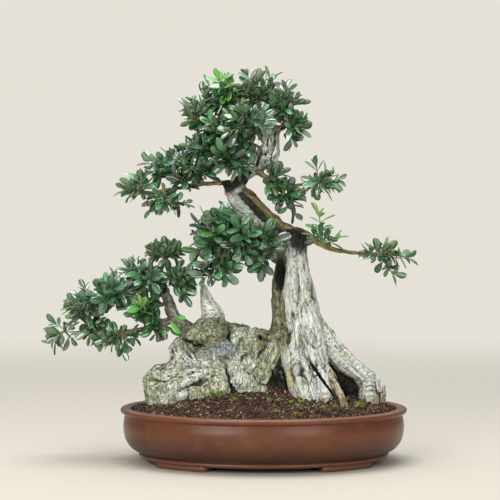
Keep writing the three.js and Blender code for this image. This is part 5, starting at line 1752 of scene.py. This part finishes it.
draw = np.random.default_rng(61)
moss_at = []
for x, y in moss_middles(draw):
    spread = draw.uniform(4, 9)
    count = int(spread * MOSS_GRAINS)
    around = draw.normal(0, spread / 2.2, (count, 2))
    rise = np.exp(-(around**2).sum(axis=1) / spread**2) * MOSS_RISE
    px, py = x + around[:, 0], y + around[:, 1]
    moss_at.append(np.stack([px, py, soil_height(px, py) + rise], axis=1))
moss_at = np.vstack(moss_at)
moss_at = moss_at[~inside_wood(moss_at, 2.0)]
inside_lip = (moss_at[:, 0] / (LIP_INSIDE - 4)) ** 2 + (moss_at[:, 1] / (LIP_DEPTH - 4)) ** 2 < 1
moss_at = moss_at[inside_lip]
moss_points, moss_faces = strew(moss_at, draw.uniform(0.7, 1.5, len(moss_at)), draw)
print("moss grains:", len(moss_at))


# %% Moss and seedling finishes
def make_moss():
    finish = Finish("moss", {"Roughness": 0.95, "Specular IOR Level": 0.2})
    fine = finish.noise(finish.position(), 500.0, 3.0)
    shade = finish.attribute("shade")
    green = finish.tones(shade, "3c4a1c", "8a9440")
    green = finish.over(green, fine.ramp(0.4, 0.7) * 0.4, "20280f")
    return finish.surface({"Base Color": green, "Normal": finish.bump(fine, 0.0008, 0.8)})


def make_seedling():
    finish = Finish("seedling_leaf", {"Roughness": 0.45})
    tint = finish.attribute("tint")
    green = finish.tones(tint, "48762a", "94b64c")
    rib = 1 - finish.attribute("across").size().ramp(0.02, 0.2)
    green = finish.over(green, rib * 0.4, "d2e58f")
    return finish.surface({"Base Color": green, "Normal": finish.bump(rib, 0.0003, 0.5)})


moss_values = {"shade": np.repeat(draw.random(len(moss_at)), GRAIN_CORNERS)}
moss = make_piece("moss", moss_points, moss_faces.tolist(), [make_moss()], moss_values)
settle(moss, "leafy_sprays")

# %% Seedlings
SEEDLINGS = [  # x, y and the length of a leaf
    (-78, -62, 13), (-74, -66, 9), (-26, -90, 6), (8, -96, 7), (24, -92, 5), (44, -102, 6), (60, -100, 7),
    (84, -106, 5), (-110, -84, 5), (-52, -92, 5), (128, -92, 5), (154, -74, 6), (-140, 62, 8),
    (-40, 96, 9), (70, 104, 7), (150, 66, 6),
]
LEAVES_OF_SEEDLING = 7


def seedling_rows(x, y, size, draw):
    rows = []
    for k in range(LEAVES_OF_SEEDLING):
        angle = GOLDEN_ANGLE * k + draw.uniform(0, 0.4)
        lean = 0.35 + 0.13 * k
        out = np.array([math.cos(angle), math.sin(angle), 0])
        forward = out * math.sin(lean) + np.array([0, 0, math.cos(lean)])
        facing = np.array([0, 0, 1.0]) - out * 0.6
        base = [x, y, float(soil_height(np.array(x), np.array(y))) + 0.8]
        length = size * draw.uniform(0.7, 1.15)
        rows.append([*base, *forward, *facing, length, length * 0.42, 0.3, 0.12, 0.0])
    return rows


draw = np.random.default_rng(27)
rows = np.array([row for x, y, size in SEEDLINGS for row in seedling_rows(x, y, size, draw)])
seedlings = grow_leaves(rows[:, 0:3], rows[:, 3:6], rows[:, 6:9], *rows[:, 9:14].T)
weed_values = {"across": np.tile(LEAF_ACROSS, len(rows)),
               "tint": np.repeat(draw.random(len(rows)), seedlings.shape[1])}
weed_faces = faces_of_leaves(len(rows))
weeds = make_piece("seedlings", seedlings.reshape(-1, 3), weed_faces, [make_seedling()], weed_values)
settle(weeds, "leafy_sprays")

# %% [markdown]
# ## Drainage screens
# Over each hole in the floor lies a square of plastic mesh that lets water out and keeps the grains
# in. It shows only from below, through the hole, so it is a plain woven grid: two layers of bars.

# %% Screens
SCREEN_SIDE, SCREEN_BARS, BAR_RADIUS = 36.0, 13, 0.5
SCREEN_EDGE = 0.6                          # from the side to the first bar
SCREEN_RISE, LAYER_RISE = 0.9, 0.5         # the lower bars over the floor, and the upper bars over them


def make_screen(name, x):
    middle = np.linspace(-SCREEN_SIDE / 2 + SCREEN_EDGE, SCREEN_SIDE / 2 - SCREEN_EDGE, SCREEN_BARS)
    run = np.linspace(-SCREEN_SIDE / 2, SCREEN_SIDE / 2, 4)
    points, faces = np.zeros((0, 3)), []
    for offset in middle:
        for flip in (False, True):
            still = np.full(4, offset)
            height = np.full(4, FLOOR_TOP + SCREEN_RISE + (LAYER_RISE if flip else 0))
            path = np.stack([x + (still if flip else run), run if flip else still, height], axis=1)
            bar_points, bar_faces = tube(path, np.full(4, BAR_RADIUS), 6)
            faces += moved_on(bar_faces, len(points))
            points = np.vstack([points, bar_points])
    piece = make_piece(name, points, faces, [screen_finish])
    settle(piece, "drainage_screen", name.replace("mesh", "drainage_screen"))


def make_screen_finish():
    finish = Finish("black_net_plastic", {"Specular IOR Level": 0.45})
    fine = finish.noise(finish.position(), 1200.0, 2.0)
    dark = finish.tones(fine, "101114", "2a2c30")
    normal = finish.bump(fine, 0.0001, 0.4)
    return finish.surface({"Base Color": dark, "Roughness": 0.42 + fine * 0.2, "Normal": normal})


screen_finish = make_screen_finish()
make_screen("mesh_left", -DRAIN_X)
make_screen("mesh_right", DRAIN_X)

# %% [markdown]
# ## The floor
# A plain pale floor catches a soft shadow. It fades out far from the pot, so that it melts into the
# sky and draws no line behind the tree.


# %% Floor
FLOOR_RADIUS, FLOOR_HEIGHT, FLOOR_SIDES = 3000, -0.2, 96


def make_floor_finish():
    finish = Finish("pale_floor", {"Roughness": 0.9})
    spot = finish.position()
    away = finish.node("ShaderNodeVectorMath", {"operation": "LENGTH"}, {0: spot}, "Value")
    faint = finish.noise(spot, 60.0, 4.0)
    tone = finish.tones(faint, "b3ab9d", "bab2a4")
    normal = finish.bump(faint, 0.0002, 0.3)
    return finish.surface({"Base Color": tone, "Alpha": 1 - away.ramp(0.9, 2.6), "Normal": normal})


ring = np.arange(FLOOR_SIDES) * 2 * math.pi / FLOOR_SIDES
floor_points = np.stack([FLOOR_RADIUS * np.cos(ring) - POT_X, FLOOR_RADIUS * np.sin(ring),
                         np.full(FLOOR_SIDES, FLOOR_HEIGHT)], axis=1)
floor = make_piece("floor", floor_points, [list(range(FLOOR_SIDES))], [make_floor_finish()])
floor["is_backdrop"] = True
print("the floor is", 2 * FLOOR_RADIUS / 1000, "m across")

# %% [markdown]
# ## Sizes and the end
# The finished model is set against the measured one: for the low and the high corner of the two boxes,
# the growth is printed in millimetres. The finished model has to stay within the measured one.

# %% Sizes
new_box = [list(corner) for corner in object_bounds()]
for label, old, new in zip(("low", "high"), cad_box, new_box):
    print(label, "grew by", [round(1000 * (b - a), 1) for a, b in zip(old, new)], "mm")
